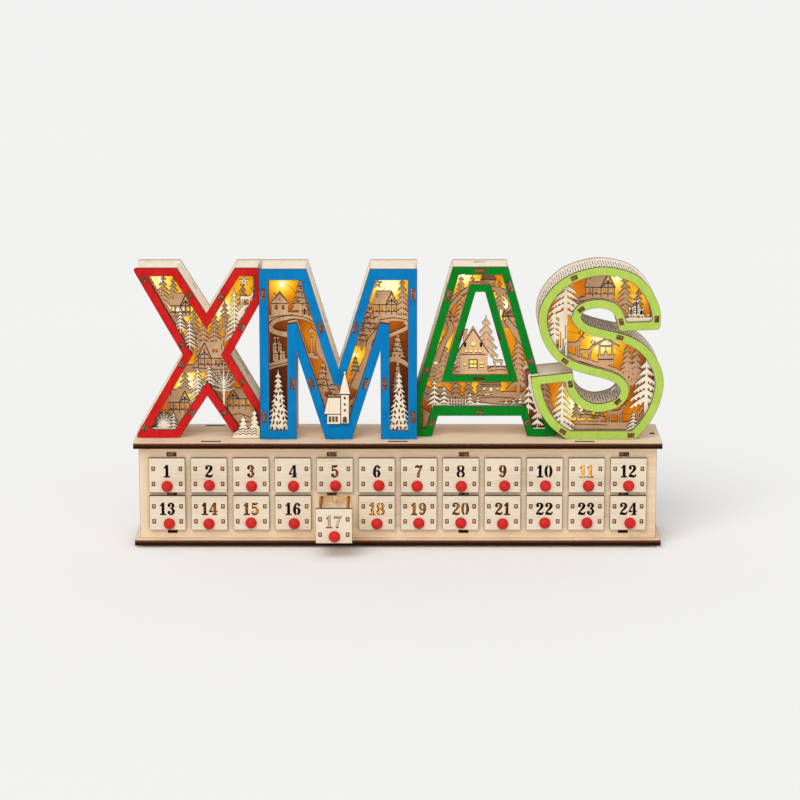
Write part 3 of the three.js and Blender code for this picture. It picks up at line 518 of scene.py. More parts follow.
# The case: front, back and end panels of thin plywood between the plates, and the shelves and
# dividers inside, all joined by tabs whose charred ends show in the panels.
case_ply = plywood("case_birch", (232, 205, 170), (212, 179, 140), "X")
thin_edge = charred("thin_char", (112, 62, 32), (70, 34, 16), (34, 12, 5))
case_looks = (case_ply, thin_edge, case_ply)
for node, axis in (("front_panel", 1), ("back_panel", 1), ("left_end_panel", 0), ("right_end_panel", 0),
                   ("lower_shelf", 2)):
    board_from(node, axis, case_looks, "natural_ply")
shelf_birch, shelf_surface = finish("shelf_birch", 0.7)
shelf_place = own_place(shelf_birch)
shelf_grain = noise(shelf_birch, 260.0, 4.0, Vector=stretched(shelf_birch, shelf_place, (0.05, 1, 1)))
shelf_soot = noise(shelf_birch, 420.0, Vector=shelf_place)
shelf_depth = add_node(shelf_birch, "SeparateXYZ", {"Vector": shelf_place}).outputs["Y"]
in_panel = maths(shelf_birch, "LESS_THAN", shelf_depth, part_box("front_panel")[0].y + 0.6 * mm)
shelf_wood = ramp(shelf_birch, shelf_grain, [(0.3, (206, 170, 130)), (0.65, (228, 198, 160))])
shelf_burnt = ramp(shelf_birch, shelf_soot, [(0.42, (62, 26, 12)), (0.6, (150, 92, 54))])
link(shelf_birch, mixed_colours(shelf_birch, in_panel, shelf_wood, shelf_burnt), shelf_surface, "Base Color")


def repaint(node, look):
    """Gives a piece of the construction, which is shown as it is, its finish."""
    cad[node].data.materials.clear()
    cad[node].data.materials.append(look)


repaint("drawer_grid", shelf_birch)

# The drawers: a tray of four boards behind an overlay face. The number is cut right through the face in
# stencil figures, the tray's tab ends show in four holes with a dark gap round them, and the knob is a
# painted half ball, not always glued on in the middle.
drawer_ply = plywood("drawer_birch", (226, 210, 186), (212, 192, 165), "X")
# Painted light: the trays' birch is paler than the rest, to make up for the shade inside the compartments.
brightened_tray_ply = plywood("tray_birch", (250, 236, 212), (238, 216, 184), "X")
drawer_edge = charred("drawer_char", (84, 42, 20), (46, 20, 9), (26, 9, 4))
tray_edge = charred("tray_char", (226, 168, 112), (206, 148, 94), (112, 62, 32))
tab_end = plywood("tab_end_birch", (222, 164, 108), (190, 130, 80), "X")
knob_paint, knob_surface = finish("knob_red_paint", 0.5)
knob_surface.inputs["Specular IOR Level"].default_value = 0.3
knob_waves = noise(knob_paint, 420.0, 3.0, Vector=own_place(knob_paint))
tint(knob_paint, knob_surface, knob_waves, [(0.3, (188, 14, 14)), (0.7, (212, 28, 24))])
relief(knob_paint, knob_surface, knob_waves, 0.25, 0.0003)

thin_board = 3
face_size = 31.2
face_width = 31.9
face_tab_reach = 12
face_tab_drops = (9.6, 23.3)
face_tab = (2.8, 3.5)
tab_gap = 0.42
tab_end_sunk = 0.4
tab_end_depth = 1.2
wall_tab_sunk = 1.5
wall_tab_play = 0.12
tray_lift = 0.3
tray_height = 28.5
tray_half = 13.5
tray_play = 0.05
digit_drop = 6.4
digit_gap = 1.0
digit_height = 11
digit_width = 7
narrow_digit = 5.6
knob_radius = 5.1
knob_sides = 36
knob_drop = 25.2
knob_slip = 0.5
knob_shifts = (0, 0.2, 0.5, 0.5, 0.6, 1.9, -1.4, 0.6, 1.8, 0.9, 1.8, 0.2,
               1.4, -0.5, -0.3, 0.8, 0.4, 0.1, 0.1, 0.3, 0.3, 0.6, 0.8, 2.0)


def rectangle(x0, x1, z0, z1):
    return [(x0, z0), (x1, z0), (x1, z1), (x0, z1)]


def disc(x, z, radius, sides=16):
    return [(x + radius * math.cos(2 * math.pi * k / sides), z + radius * math.sin(2 * math.pi * k / sides))
            for k in range(sides)]


def smooth(path, steps=4):
    """An even curve through the given places; each may carry a width as its third number."""
    ends = [path[0], *path, path[-1]]
    curve = []
    for a, b, c, d in zip(ends, ends[1:], ends[2:], ends[3:]):
        for k in range(steps):
            t = k / steps
            curve.append(tuple(
                0.5 * (2 * q + (r - p) * t + (2 * p - 5 * q + 4 * r - s) * t * t
                       + (3 * q - p - 3 * r + s) * t ** 3)
                for p, q, r, s in zip(a, b, c, d)
            ))
    return curve + [tuple(path[-1])]


def stroke(path, steps=4):
    """A drawn stroke from (x, z, width) places, as one outline."""
    line = smooth(path, steps)
    left = []
    right = []
    for i, (x, z, width) in enumerate(line):
        ahead = line[min(i + 1, len(line) - 1)]
        behind = line[max(i - 1, 0)]
        dx, dz = ahead[0] - behind[0], ahead[1] - behind[1]
        length = math.hypot(dx, dz) or 1
        left.append((x - dz / length * width / 2, z + dx / length * width / 2))
        right.append((x + dz / length * width / 2, z - dx / length * width / 2))
    return left + right[::-1]


six = [
    stroke([(5.5, 9.4, 0.8), (4.3, 10.5, 1.0), (2.5, 9.4, 1.5), (1.5, 6, 2.2), (1.6, 2.6, 2.1),
            (2.4, 0.9, 1.4),
            (3.1, 0.45, 0.8)]),
    stroke([(2.5, 5.3, 0.6), (3.8, 6.3, 0.9), (5.3, 5, 1.8), (5.5, 3.2, 2.1), (5, 1.3, 1.6),
            (3.9, 0.45, 0.8)]),
    disc(5.4, 9, 1.05),
]
figures = {
    "0": [
        stroke([(2.85, 10.5, 0.8), (1.8, 9.2, 1.6), (1.2, 5.5, 2.2), (1.8, 1.8, 1.6), (2.85, 0.5, 0.8)]),
        stroke([(4.15, 10.5, 0.8), (5.2, 9.2, 1.6), (5.8, 5.5, 2.2), (5.2, 1.8, 1.6), (4.15, 0.5, 0.8)]),
    ],
    "1": [
        rectangle(1.7, 3.9, 0.3, 11),
        rectangle(0.2, 5.4, 0, 0.9),
        stroke([(0.3, 8.5, 0.9), (1.2, 8.9, 0.9), (2.3, 10.3, 1.1)]),
    ],
    "2": [
        disc(1.6, 8.4, 1.2),
        stroke([(0.8, 8.2, 0.7), (1.3, 10, 1.0), (3.2, 10.55, 0.9), (5, 9.8, 1.7), (5.5, 8.1, 2.3),
                (4.2, 5.7, 1.7),
                (2, 3.3, 1.0), (0.8, 1.2, 1.0)]),
        stroke([(0.5, 1, 1.4), (2.4, 1.3, 2.0), (4.4, 0.9, 1.9), (5.9, 1.2, 1.3), (6.5, 2.8, 0.6)]),
    ],
    "3": [
        disc(1.6, 8.5, 1.2),
        disc(1.6, 2.4, 1.25),
        stroke([(0.9, 9.1, 0.8), (2.2, 10.5, 0.9), (4, 10.3, 1.3), (5.2, 8.6, 2.1), (4.4, 6.6, 1.3),
                (2.9, 5.95, 0.7)]),
        stroke([(2.9, 5.85, 0.7), (4.7, 5.2, 1.4), (5.4, 3.1, 2.3), (4.3, 0.9, 1.4), (2.4, 0.45, 0.9),
                (0.9, 1.7, 0.8)]),
    ],
    "4": [
        rectangle(3.9, 6, 0.4, 10.9),
        rectangle(2.8, 6.9, 0, 0.85),
        stroke([(4.4, 10.6, 1.0), (2.4, 7, 0.9), (0.6, 3.1, 0.9)]),
        rectangle(0.2, 3.25, 2.6, 3.6),
        rectangle(5.7, 6.9, 2.6, 3.6),
    ],
    "5": [
        stroke([(1.3, 10.3, 1.3), (3.6, 9.9, 1.7), (5.9, 10.6, 0.8)]),
        stroke([(1.5, 10.4, 0.8), (1.3, 5.9, 0.8)]),
        stroke([(1.3, 6, 0.8), (3.2, 6.9, 1.1), (5.2, 5.8, 1.8), (5.5, 3.4, 2.3), (4.4, 1, 1.5),
                (2.3, 0.45, 0.9),
                (0.9, 1.6, 0.8)]),
        disc(1.6, 2.3, 1.25),
    ],
    "6": six,
    "7": [
        stroke([(0.6, 8.8, 0.8), (1.5, 10.1, 1.7), (3.6, 9.6, 1.8), (5.3, 10, 1.4), (6.6, 10.7, 0.6)]),
        stroke([(6.4, 10.4, 0.7), (4.8, 7.2, 1.1), (3.4, 4.2, 1.8), (3.1, 1.2, 2.3)]),
        disc(3.1, 1.15, 1.15),
    ],
    "8": [
        stroke([(2.85, 10.5, 0.8), (1.7, 9.7, 1.3), (1.2, 8.3, 1.7), (1.8, 6.7, 1.7), (2.7, 5.7, 1.3),
                (1.5, 4.5, 1.7),
                (0.95, 2.7, 1.9), (1.6, 1.1, 1.4), (2.85, 0.5, 0.8)]),
        stroke([(4.15, 10.5, 0.8), (5.3, 9.7, 1.3), (5.8, 8.3, 1.7), (5.2, 6.7, 1.7), (4.3, 5.7, 1.3),
                (5.5, 4.5, 1.7),
                (6.05, 2.7, 1.9), (5.4, 1.1, 1.4), (4.15, 0.5, 0.8)]),
    ],
    "9": [[(digit_width - x, digit_height - z) for x, z in part] for part in six],
}


def number_cuts(number, x, top):
    """The stencil cuts of a number, centred on x."""
    digits = str(number)
    widths = [narrow_digit if digit == "1" else digit_width for digit in digits]
    left = x - (sum(widths) + digit_gap * (len(digits) - 1)) / 2
    cuts = []
    for digit, width in zip(digits, widths):
        cuts += [[(left + a, top - digit_height + b) for a, b in part] for part in figures[digit]]
        left += width + digit_gap
    return cuts


def finger_edge(x, z0, z1, out, first):
    """An upright edge with fingers: from z0 to z1, every other third stands out."""
    third = (z1 - z0) / 3
    edge = []
    for k, proud in enumerate((first, not first, first)):
        reach = x + out if proud else x
        edge += [(reach, z0 + k * third), (reach, z0 + (k + 1) * third)]
    return edge


def tab_marks(x, top, gap=0):
    """Where the tray's four tabs end in a drawer's face, each smaller all round by a gap."""
    wide, tall = face_tab[0] / 2, face_tab[1] / 2
    return [
        rectangle(x + side * face_tab_reach - wide + gap, x + side * face_tab_reach + wide - gap,
                  top - drop - tall + gap, top - drop + tall - gap)
        for side in (-1, 1)
        for drop in face_tab_drops
    ]


def make_drawer(number):
    node = f"drawer_{number:02d}"
    low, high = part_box(node)
    chance = random.Random(number)
    x = (low.x + high.x) / 2 / mm
    foot = low.z / mm
    top = foot + face_size
    front = low.y / mm + knob_radius
    behind = front + thin_board
    rear = high.y / mm
    tray_foot = foot + tray_lift
    tray_top = tray_foot + tray_height
    inner = tray_half - thin_board

    def tray_board(name, loops, place):
        board = cut_sheet(f"{node}_{name}", {"board": loops}, lambda count: count["board"], place, thin_board,
                          (brightened_tray_ply, tray_edge, brightened_tray_ply), char=0.15)
        dress(board, node, "natural_ply")

    face = cut_sheet(
        node + "_face",
        {
            "board": [rectangle(x - face_width / 2, x + face_width / 2, foot, top)],
            "cut": number_cuts(number, x, top - digit_drop) + tab_marks(x, top),
        },
        lambda count: count["board"] and not count["cut"],
        standing(front),
        thin_board,
        (drawer_ply, drawer_edge, drawer_ply),
        whole=True,
    )
    dress(face, node, "natural_ply", node)
    wall = [
        (behind, tray_foot),
        *finger_edge(rear - thin_board, tray_foot, tray_top, thin_board, True),
        (behind, tray_top),
    ]
    tabs = [rectangle(front + wall_tab_sunk, behind + 1, top - drop - face_tab[1] / 2 + wall_tab_play,
                      top - drop + face_tab[1] / 2 - wall_tab_play) for drop in face_tab_drops]
    for name, left in (("left_wall", x - tray_half), ("right_wall", x + tray_half - thin_board)):
        tray_board(name, [wall, *tabs], endways(left))
    ends = cut_sheet(node + "_tab_ends", {"board": tab_marks(x, top, tab_gap)}, lambda count: count["board"],
                     standing(front + tab_end_sunk), tab_end_depth, (tab_end, drawer_edge, drawer_edge))
    dress(ends, node, "natural_ply")
    back = [
        *finger_edge(x + inner, tray_foot, tray_top, thin_board, False),
        *reversed(finger_edge(x - inner, tray_foot, tray_top, -thin_board, False)),
    ]
    tray_board("back_wall", [back], standing(rear - thin_board))
    bottom = rectangle(x - inner + tray_play, x + inner - tray_play, behind + tray_play,
                       rear - thin_board - tray_play)
    tray_board("bottom", [bottom], lying(tray_foot + thin_board))
    slip = chance.uniform(-knob_slip, knob_slip)
    centre = (x + knob_shifts[number - 1], front, top - knob_drop + slip)
    ten_degrees = math.pi / 18
    dome = [(knob_radius * math.cos(a * ten_degrees), knob_radius * math.sin(a * ten_degrees))
            for a in range(9)]
    profile = [(0, -0.01), (knob_radius - 0.3, -0.01), *dome, (0, knob_radius)]
    knob = turned(node + "_knob", profile, centre, "-Y", knob_sides, (knob_paint,))
    dress(knob, node, "natural_ply")


for number in range(1, 25):
    make_drawer(number)

# The letters' painted frames: thin birch, sprayed on the face only, so the cut edges stay charred brown.
# The strip walls' tab ends come through them as small dark marks.
letter_floor = plate_high.z / mm + 0.1
letter_middle = middle / mm


def painted(name, colour, dark):
    """Spray paint on birch: the grain still shows as fine streaks and a faint unevenness."""
    made, surface = finish(name, 0.6)
    surface.inputs["Specular IOR Level"].default_value = 0.08
    place = own_place(made)
    streaks = noise(made, 900.0, 3.0, Vector=stretched(made, place, (1, 1, 0.12)))
    clouds = noise(made, 60.0, Vector=place)
    both = maths(made, "ADD", streaks, clouds)
    level = add_node(made, "MapRange", {"Value": both, "From Min": 0.75, "From Max": 1.25}).outputs["Result"]
    tint(made, surface, level, [(0, dark), (1, colour)])
    relief(made, surface, streaks, 0.3, 0.0002)
    return made


paints = {
    "x": painted("red_spray", (208, 34, 34), (190, 22, 24)),
    "m": painted("blue_spray", (0, 126, 188), (0, 112, 174)),
    "a": painted("green_spray", (0, 130, 34), (0, 116, 26)),
    "s": painted("lime_spray", (180, 206, 92), (166, 194, 80)),
}
letter_ply = plywood("letter_birch", (238, 226, 204), (222, 200, 166), "Z")
letter_edge = charred("letter_char", (132, 82, 50), (96, 56, 32), (60, 30, 16))


def smoothed(loop):
    """A rounder copy of a closed outline: gentle bends are rounded, real corners and long straights stay."""
    sharp_turn = 35
    slight_turn = 4
    long_side = 26
    count = len(loop)
    corner = []
    for i in range(count):
        a = Vector(loop[i]) - Vector(loop[i - 1])
        b = Vector(loop[(i + 1) % count]) - Vector(loop[i])
        turn = math.degrees(abs(a.angle_signed(b, 0)))
        uneven = max(a.length, b.length) > 2.6 * min(a.length, b.length)
        corner.append(turn > sharp_turn or (uneven and turn > slight_turn)
                      or max(a.length, b.length) > long_side)
    starts = [i for i in range(count) if corner[i]]
    if not starts:
        return smooth([*loop, loop[0]], 4)[:-1]
    out = []
    for a, b in zip(starts, starts[1:] + [starts[0] + count]):
        run = [loop[k % count] for k in range(a, b + 1)]
        out += (smooth(run, 4) if len(run) > 2 else run)[:-1]
    return out


def letter_outlines(node):
    loops = outlines(node, 1, 0)
    if node.startswith("s_"):
        loops = [smoothed(loop) if abs(turn_area(loop)) > 60 else loop for loop in loops]
    return loops


def on_letters(loop):
    return [(x + letter_middle, z + letter_floor) for x, z in loop]


# The M's windows end lower at the top than the others, and its middle one stops behind the church.
broad_rims = {"m": [rectangle(-114, -80, 142.6, 145), rectangle(-24, 9.6, 142.6, 145),
                    rectangle(-62, -42, 7, 13.8)]}
for letter in "xmas":
    node = letter + "_front_frame"
    low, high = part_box(node)
    frame_board = cut_sheet(
        node + "_board",
        {"outline": letter_outlines(node), "broad": [on_letters(loop)
                                                     for loop in broad_rims.get(letter, [])]},
        lambda count: count["outline"] % 2 or count["broad"],
        standing(low.y / mm),
        (high.y - low.y) / mm,
        (paints[letter], letter_edge, letter_ply),
        char=0.28,
    )
    dress(frame_board, "case", {"x": "red", "m": "blue", "a": "green", "s": "lime"}[letter] + "_paint", node)

# The cut-out scenes: a pale layer just behind each frame with firs and fences, and a browner one
# further back with houses, hills and deer, whose tan is painted warm lamplight on pale birch, also made
# lighter to make up for its shade. Both are single sheets, joined all round under the frame.
pale_ply = plywood("pale_scene_birch", (238, 224, 200), (224, 204, 172), "Z")
pale_edge = charred("pale_scene_char", (92, 48, 26), (50, 22, 12), (30, 10, 5))
pale_looks = (pale_ply, pale_edge, pale_ply)
# Painted light: this tan stands in for warm lamplight on pale birch, and is lighter to offset the layer's
# shade.
scene_ply = plywood("painted_warm_light_birch", (232, 188, 144), (206, 158, 114), "Z")
scene_edge = charred("brown_scene_char", (84, 40, 20), (46, 18, 8), (26, 8, 3))
scene_looks = (scene_ply, scene_edge, scene_ply)


def moved_in(loop, distance):
    """An outline moved towards its own left side by a distance."""
    out = []
    for i, here in enumerate(loop):
        here = Vector(here)
        before = (here - Vector(loop[i - 1])).normalized()
        after = (Vector(loop[(i + 1) % len(loop)]) - here).normalized()
        n0 = Vector((-before.y, before.x))
        n1 = Vector((-after.y, after.x))
        both = (n0 + n1) * (distance / max(0.3, 1 + n0.dot(n1)))
        out.append(tuple(here + both))
    return out


def inset(loop, distance):
    return moved_in(loop if turn_area(loop) > 0 else loop[::-1], distance)


def figure(solid=(), hole=(), line=()):
    return {"solid": list(solid), "hole": list(hole), "line": list(line)}


def bough_fir(x, foot, height, half, boughs=7, thick=0.75, droop=0.42, seed=1, trunk=0.09):
    """A fir with pairs of drooping boughs, each with a ragged lower edge."""
    chance = random.Random(seed)
    top = foot + height
    parts = [[(x - half * trunk, foot - 1.5), (x + half * trunk, foot - 1.5), (x + half * 0.04, top),
              (x - half * 0.04, top)]]
    parts.append([(x - half * 0.12, top - height * 0.14), (x + half * 0.12, top - height * 0.14),
                  (x, top + half * 0.1)])
    step = height * 0.84 / boughs
    for k in range(boughs):
        for side in (-1, 1):
            base = top - height * 0.07 - step * (k + 0.12 * chance.random())
            reach = half * (0.2 + 0.8 * (k + 1) / boughs) * chance.uniform(0.84, 1.04)
            drop = reach * droop + step * 0.25
            body = step * thick
            lower = [
                (reach * 0.84, base - drop * 0.94 - body * 0.42),
                (reach * 0.74, base - drop * 0.72 - body * 0.3),
                (reach * 0.58, base - drop * 0.66 - body * 0.75),
                (reach * 0.48, base - drop * 0.42 - body * 0.5),
                (reach * 0.3, base - drop * 0.34 - body * 0.95),
                (reach * 0.2, base - drop * 0.12 - body * 0.72),
            ]
            upper = smooth([(0, base + step * 0.2), (reach * 0.42, base - drop * 0.22),
                            (reach * 0.78, base - drop * 0.68),
                            (reach, base - drop)], 2)
            parts.append([(x + side * a, b) for a, b in [*upper, *lower, (0, base - body)]])
    return figure(parts)


def almond(x, z, length, width, angle):
    turn = math.radians(angle)
    shape = [(-0.5, 0), (-0.2, 0.42), (0.2, 0.5), (0.5, 0), (0.2, -0.36), (-0.2, -0.5)]
    return [(x + length * a * math.cos(turn) - width * b * math.sin(turn),
             z + length * a * math.sin(turn) + width * b * math.cos(turn)) for a, b in shape]


def snowy_fir(x, foot, height, half, rows=8, seed=3):
    """A dense fir: solid at the foot, feathered at the sides, with rows of almond holes."""
    chance = random.Random(seed)
    boughs = bough_fir(x, foot + height * 0.14, height * 0.86, half * 1.06, rows + 2, 0.82, 0.62, seed)
    parts = boughs["solid"]
    parts.append([(x - half, foot), (x + half, foot), (x + half, foot + height * 0.06),
                  (x + half * 0.72, foot + height * 0.16),
                  (x, foot + height * 0.92), (x - half * 0.72, foot + height * 0.16),
                  (x - half, foot + height * 0.06)])
    holes = []
    for k in range(rows):
        z = foot + height * (0.05 + 0.74 * k / rows)
        room = half * (1 - 0.98 * (z - foot) / height)
        count = max(1, round(room / 2.2))
        for i in range(count):
            a = (i + 0.5 - count / 2) / count * 2 * room * 0.84 + chance.uniform(-0.4, 0.4)
            holes.append(almond(x + a, z + chance.uniform(-1.0, 1.0), chance.uniform(2.8, 4.0),
                                chance.uniform(1.1, 1.5),
                                chance.choice([60, 90, 120]) - 3.4 * a))
    return figure(parts, holes)


def drawn_fir(x, foot, height, half, tiers=4, dots=0, seed=5):
    """A fir in one piece with its tiers drawn in by a charred line."""
    chance = random.Random(seed)
    side = []
    lines = []
    for k in range(tiers):
        low = foot + height * (0.1 + 0.86 * k / tiers)
        out = half * (1 - k / tiers * 0.86)
        side += [(out, low), (out * 0.72, low + height * 0.035),
                 (out * 0.58, low + height * 0.5 / tiers * 1.25)]
        if k:
            lines.append(stroke([(x - out * 0.95, low + 0.2, 0.3), (x - out * 0.35, low + 1.2, 0.45),
                                 (x + out * 0.35, low + 0.5, 0.45), (x + out * 0.95, low + 0.2, 0.3)], 2))
    right = [(half * 0.14, foot - 1.5), (half * 0.14, foot + height * 0.1), *side, (0, foot + height)]
    outline = [(x + a, z) for a, z in right] + [(x - a, z) for a, z in reversed(right[:-1])]
    holes = []
    for _ in range(dots):
        z = foot + height * chance.uniform(0.14, 0.82)
        room = half * (1 - (z - foot) / height) * 0.7
        holes.append(almond(x + chance.uniform(-room, room), z, 1.7, 0.9, chance.uniform(40, 140)))
    return figure([outline], holes, lines)


def cottage(x, foot, width, wall, roof, lit=2, chimney=True):
    """A gabled front: walls, overhanging roof, a round attic window and a row of windows."""
    half = width / 2
    eaves = foot + wall
    apex = eaves + roof
    solid = [rectangle(x - half, x + half, foot - 1.5, eaves + 0.5)]
    solid.append([(x - half * 1.22, eaves - roof * 0.16), (x + half * 1.22, eaves - roof * 0.16), (x, apex)])
    if chimney:
        solid.append(rectangle(x - half * 0.72, x - half * 0.44, eaves, apex - roof * 0.18))
    holes = [disc(x, eaves + roof * 0.36, width * 0.06, 10)]
    pane = width * 0.15
    places = [(k + 0.5) / lit for k in range(lit)]
    for share in places:
        a = x - half * 0.8 + width * 0.8 * share
        holes.append(rectangle(a - pane / 2, a - 0.2, foot + wall * 0.42, foot + wall * 0.8))
        holes.append(rectangle(a + 0.2, a + pane / 2, foot + wall * 0.42, foot + wall * 0.8))
    lines = [
        stroke([(x - half * 1.1, eaves + 0.2, 0.4), (x, apex - roof * 0.17, 0.4)], 1),
        stroke([(x + half * 1.1, eaves + 0.2, 0.4), (x, apex - roof * 0.17, 0.4)], 1),
        rectangle(x - half * 0.96, x + half * 0.96, eaves - 0.5, eaves - 0.1),
    ]
    return figure(solid, holes, lines)


def farmhouse(x, foot, width, wall, roof, panes=3):
    """A house seen from its long side: rows of roof tiles, a chimney, windows and a door in the middle."""
    half = width / 2
    eaves = foot + wall
    top = eaves + roof
    solid = [
        rectangle(x - half, x + half, foot - 1.5, eaves + 0.5),
        [(x - half * 1.12, eaves - 0.6), (x + half * 1.12, eaves - 0.6), (x + half * 0.8, top),
         (x - half * 0.84, top)],
        rectangle(x + half * 0.3, x + half * 0.5, top - 0.5, top + roof * 0.4),
    ]
    holes = []
    lines = [stroke([(x - half * 1.08, eaves + 0.1, 0.4), (x + half * 1.08, eaves + 0.1, 0.4)], 1)]
    for k in range(panes):
        a = x - half * 0.7 + half * 1.4 * k / max(1, panes - 1)
        low = foot + wall * (0.1 if k == panes // 2 else 0.36)
        holes.append(rectangle(a - width * 0.055, a + width * 0.055, low, foot + wall * 0.76))
    for k in range(1, 5):
        z = eaves + roof * k / 5
        left, right = x - half * (1.0 - 0.12 * k / 5), x + half * (1.0 - 0.16 * k / 5)
        lines.append(stroke([(left, z, 0.22), (right, z, 0.22)], 1))
    return figure(solid, holes, lines)


def timbered_house(x, foot, width, wall, roof, gable=1):
    """A half-timbered house: its long side under a deep roof, and at one end a gable with drawn beams."""
    half = width / 2
    eaves = foot + wall
    top = eaves + roof
    near, far = x - gable * half, x + gable * half
    split = x + gable * half * 0.06
    peak = (split + far) / 2
    quarter = (far - split) / 4
    solid = [
        rectangle(min(near, far), max(near, far), foot - 1.5, eaves + 0.5),
        [(split - gable, eaves - 0.8), (far + gable * 1.1, eaves - 0.8), (peak, top)],
        [(near - gable * 1.2, eaves - 0.8), (split, eaves - 0.8), (peak, top),
         (near + gable * half * 0.22, top)],
    ]
    sill, head = foot + wall * 0.36, foot + wall * 0.78
    panes = [peak - quarter, peak + quarter, near + gable * half * 0.3, near + gable * half * 0.72]
    holes = [rectangle(a - 0.85, a + 0.85, sill, head) for a in panes]
    holes.append(disc(peak, eaves + roof * 0.5, min(1.1, width * 0.055), 10))
    lines = [
        stroke([(peak, top - 1.2, 0.5), (split - gable * 0.2, eaves, 0.5)], 1),
        stroke([(peak, top - 1.2, 0.5), (far + gable * 0.3, eaves, 0.5)], 1),
        rectangle(min(near, far), max(near, far), eaves - 0.45, eaves - 0.05),
        stroke([(split + gable * 1.4, eaves + roof * 0.24, 0.3),
                (far - gable * 1.4, eaves + roof * 0.24, 0.3)], 1),
        stroke([(peak, eaves, 0.3), (peak, eaves + roof * 0.38, 0.3)], 1),
        stroke([(split + gable, eaves + 0.2, 0.3), (peak, eaves + roof * 0.38, 0.3)], 1),
        stroke([(far - gable, eaves + 0.2, 0.3), (peak, eaves + roof * 0.38, 0.3)], 1),
        stroke([(near, sill - 0.7, 0.3), (far, sill - 0.7, 0.3)], 1),
        stroke([(near + gable * half * 0.3, eaves + roof * 0.5, 0.3),
                (near + gable * half * 0.3, eaves + roof * 0.82, 0.3)], 1),
    ]
    for a in (split, peak, far - gable * 0.4, near + gable * half * 0.5):
        lines.append(stroke([(a, foot, 0.3), (a, eaves - 0.4, 0.3)], 1))
    return figure(solid, holes, lines)


def church(x, foot, width, height):
    """A village church: a nave with three windows and a tower with a pointed roof and a ball on top."""
    tower = width * 0.33
    left = x - width / 2
    wall = height * 0.2
    t0 = left + width - tower
    nave = [
        rectangle(left + width * 0.12, t0 + 0.2, foot, foot + wall),
        [(left, foot + wall - 0.4), (t0 + 0.2, foot + wall - 0.4), (t0 + 0.2, foot + height * 0.52),
         (left + width * 0.16, foot + height * 0.52)],
        rectangle(t0, t0 + tower, foot + 0.6, foot + height * 0.6),
        [(t0 - 1.4, foot + height * 0.58), (t0 + tower + 1.4, foot + height * 0.58),
         (t0 + tower / 2 + 0.4, foot + height),
         (t0 + tower / 2 - 0.4, foot + height)],
        disc(t0 + tower / 2, foot + height + 0.6, 1.1, 10),
    ]
    first = left + width * 0.2
    holes = [rectangle(first + 2.9 * k, first + 2.9 * k + 1.8, foot + 2.2, foot + 6.8) for k in range(3)]
    middle_x = t0 + tower / 2
    holes.append([(middle_x - 1.7, foot + 1.6), (middle_x + 1.7, foot + 1.6), (middle_x + 1.7, foot + 5.4),
                  (middle_x, foot + 7.2), (middle_x - 1.7, foot + 5.4)])
    holes += [rectangle(middle_x - 0.7, middle_x + 0.7, foot + h, foot + h + 1.9) for h in (11.5, 17, 22.5)]
    lines = [rectangle(t0 - 0.2, t0 + 0.2, foot, foot + height * 0.56),
             rectangle(left + 1, t0, foot + wall - 0.5, foot + wall - 0.1),
             rectangle(t0 - 1, t0 + tower + 1, foot + height * 0.575, foot + height * 0.59)]
    return figure(nave, holes, lines)


def stag(x, foot, size, facing=1):
    """A standing stag with branching antlers."""
    def at(a, b):
        return (x + facing * a * size, foot + b * size)

    body = [
        at(-0.42, 0.42), at(-0.46, 0.56), at(-0.36, 0.66), at(0.1, 0.63), at(0.26, 0.7), at(0.36, 0.9),
        at(0.44, 0.96), at(0.6, 0.9), at(0.58, 0.83), at(0.46, 0.8), at(0.4, 0.6), at(0.3, 0.44),
        at(0.1, 0.4), at(-0.2, 0.42),
    ]
    legs = []
    for a in (-0.42, -0.3, 0.14, 0.26):
        legs.append([at(a, 0.48), at(a + 0.13, 0.48), at(a + 0.07, 0.22), at(a + 0.09, -0.1), at(a, -0.1),
                     at(a, 0.22)])
    antlers = [
        stroke([(*at(0.42, 0.93), 0.7), (*at(0.36, 1.1), 0.6), (*at(0.42, 1.28), 0.4)], 2),
        stroke([(*at(0.46, 0.93), 0.7), (*at(0.54, 1.1), 0.6), (*at(0.52, 1.28), 0.4)], 2),
        stroke([(*at(0.37, 1.08), 0.5), (*at(0.26, 1.2), 0.4)], 1),
        stroke([(*at(0.54, 1.08), 0.5), (*at(0.66, 1.18), 0.4)], 1),
    ]
    return figure([body, *legs, *antlers])


def bare_tree(x, foot, height, half):
    """A leafless tree: a trunk, and limbs spread like a fan with short twigs on both sides."""
    crown = foot + height * 0.42
    limbs = [stroke([(x, foot - 1.5, 2.0), (x, crown, 1.7), (x, crown + height * 0.3, 1.0)], 1)]
    for k in range(9):
        angle = math.radians(-96 + 24 * k)
        reach = half * (1 - 0.12 * (k % 2)) * (1 + 0.5 * math.cos(angle))
        start = crown - height * 0.1 + height * 0.12 * math.cos(angle)
        tip = (x + reach * math.sin(angle), start + reach * math.cos(angle) + reach * 0.3)
        bend = (x + reach * 0.5 * math.sin(angle), start + reach * 0.5 * math.cos(angle) + reach * 0.02)
        spots = smooth([(x, start), bend, tip], 4)
        limbs.append(stroke([(*spot, 1.1 - 0.06 * i) for i, spot in enumerate(spots)], 1))
        for i in range(2, len(spots)):
            a, b = Vector(spots[i - 1]), Vector(spots[i])
            ahead = (b - a).normalized()
            for side in (-1, 1):
                twig = (ahead * 0.8 + Vector((-ahead.y, ahead.x)) * side).normalized() * (3.0 - 0.15 * i)
                limbs.append(stroke([(a.x, a.y, 0.75), (a.x + twig.x, a.y + twig.y, 0.6)], 1))
    return figure(limbs)


def five_star(x, z, radius):
    points = []
    for k in range(10):
        reach = radius if k % 2 == 0 else radius * 0.42
        points.append((x + reach * math.sin(k * math.pi / 5), z + reach * math.cos(k * math.pi / 5)))
    return figure([points], [disc(x, z, radius * 0.2, 8)])


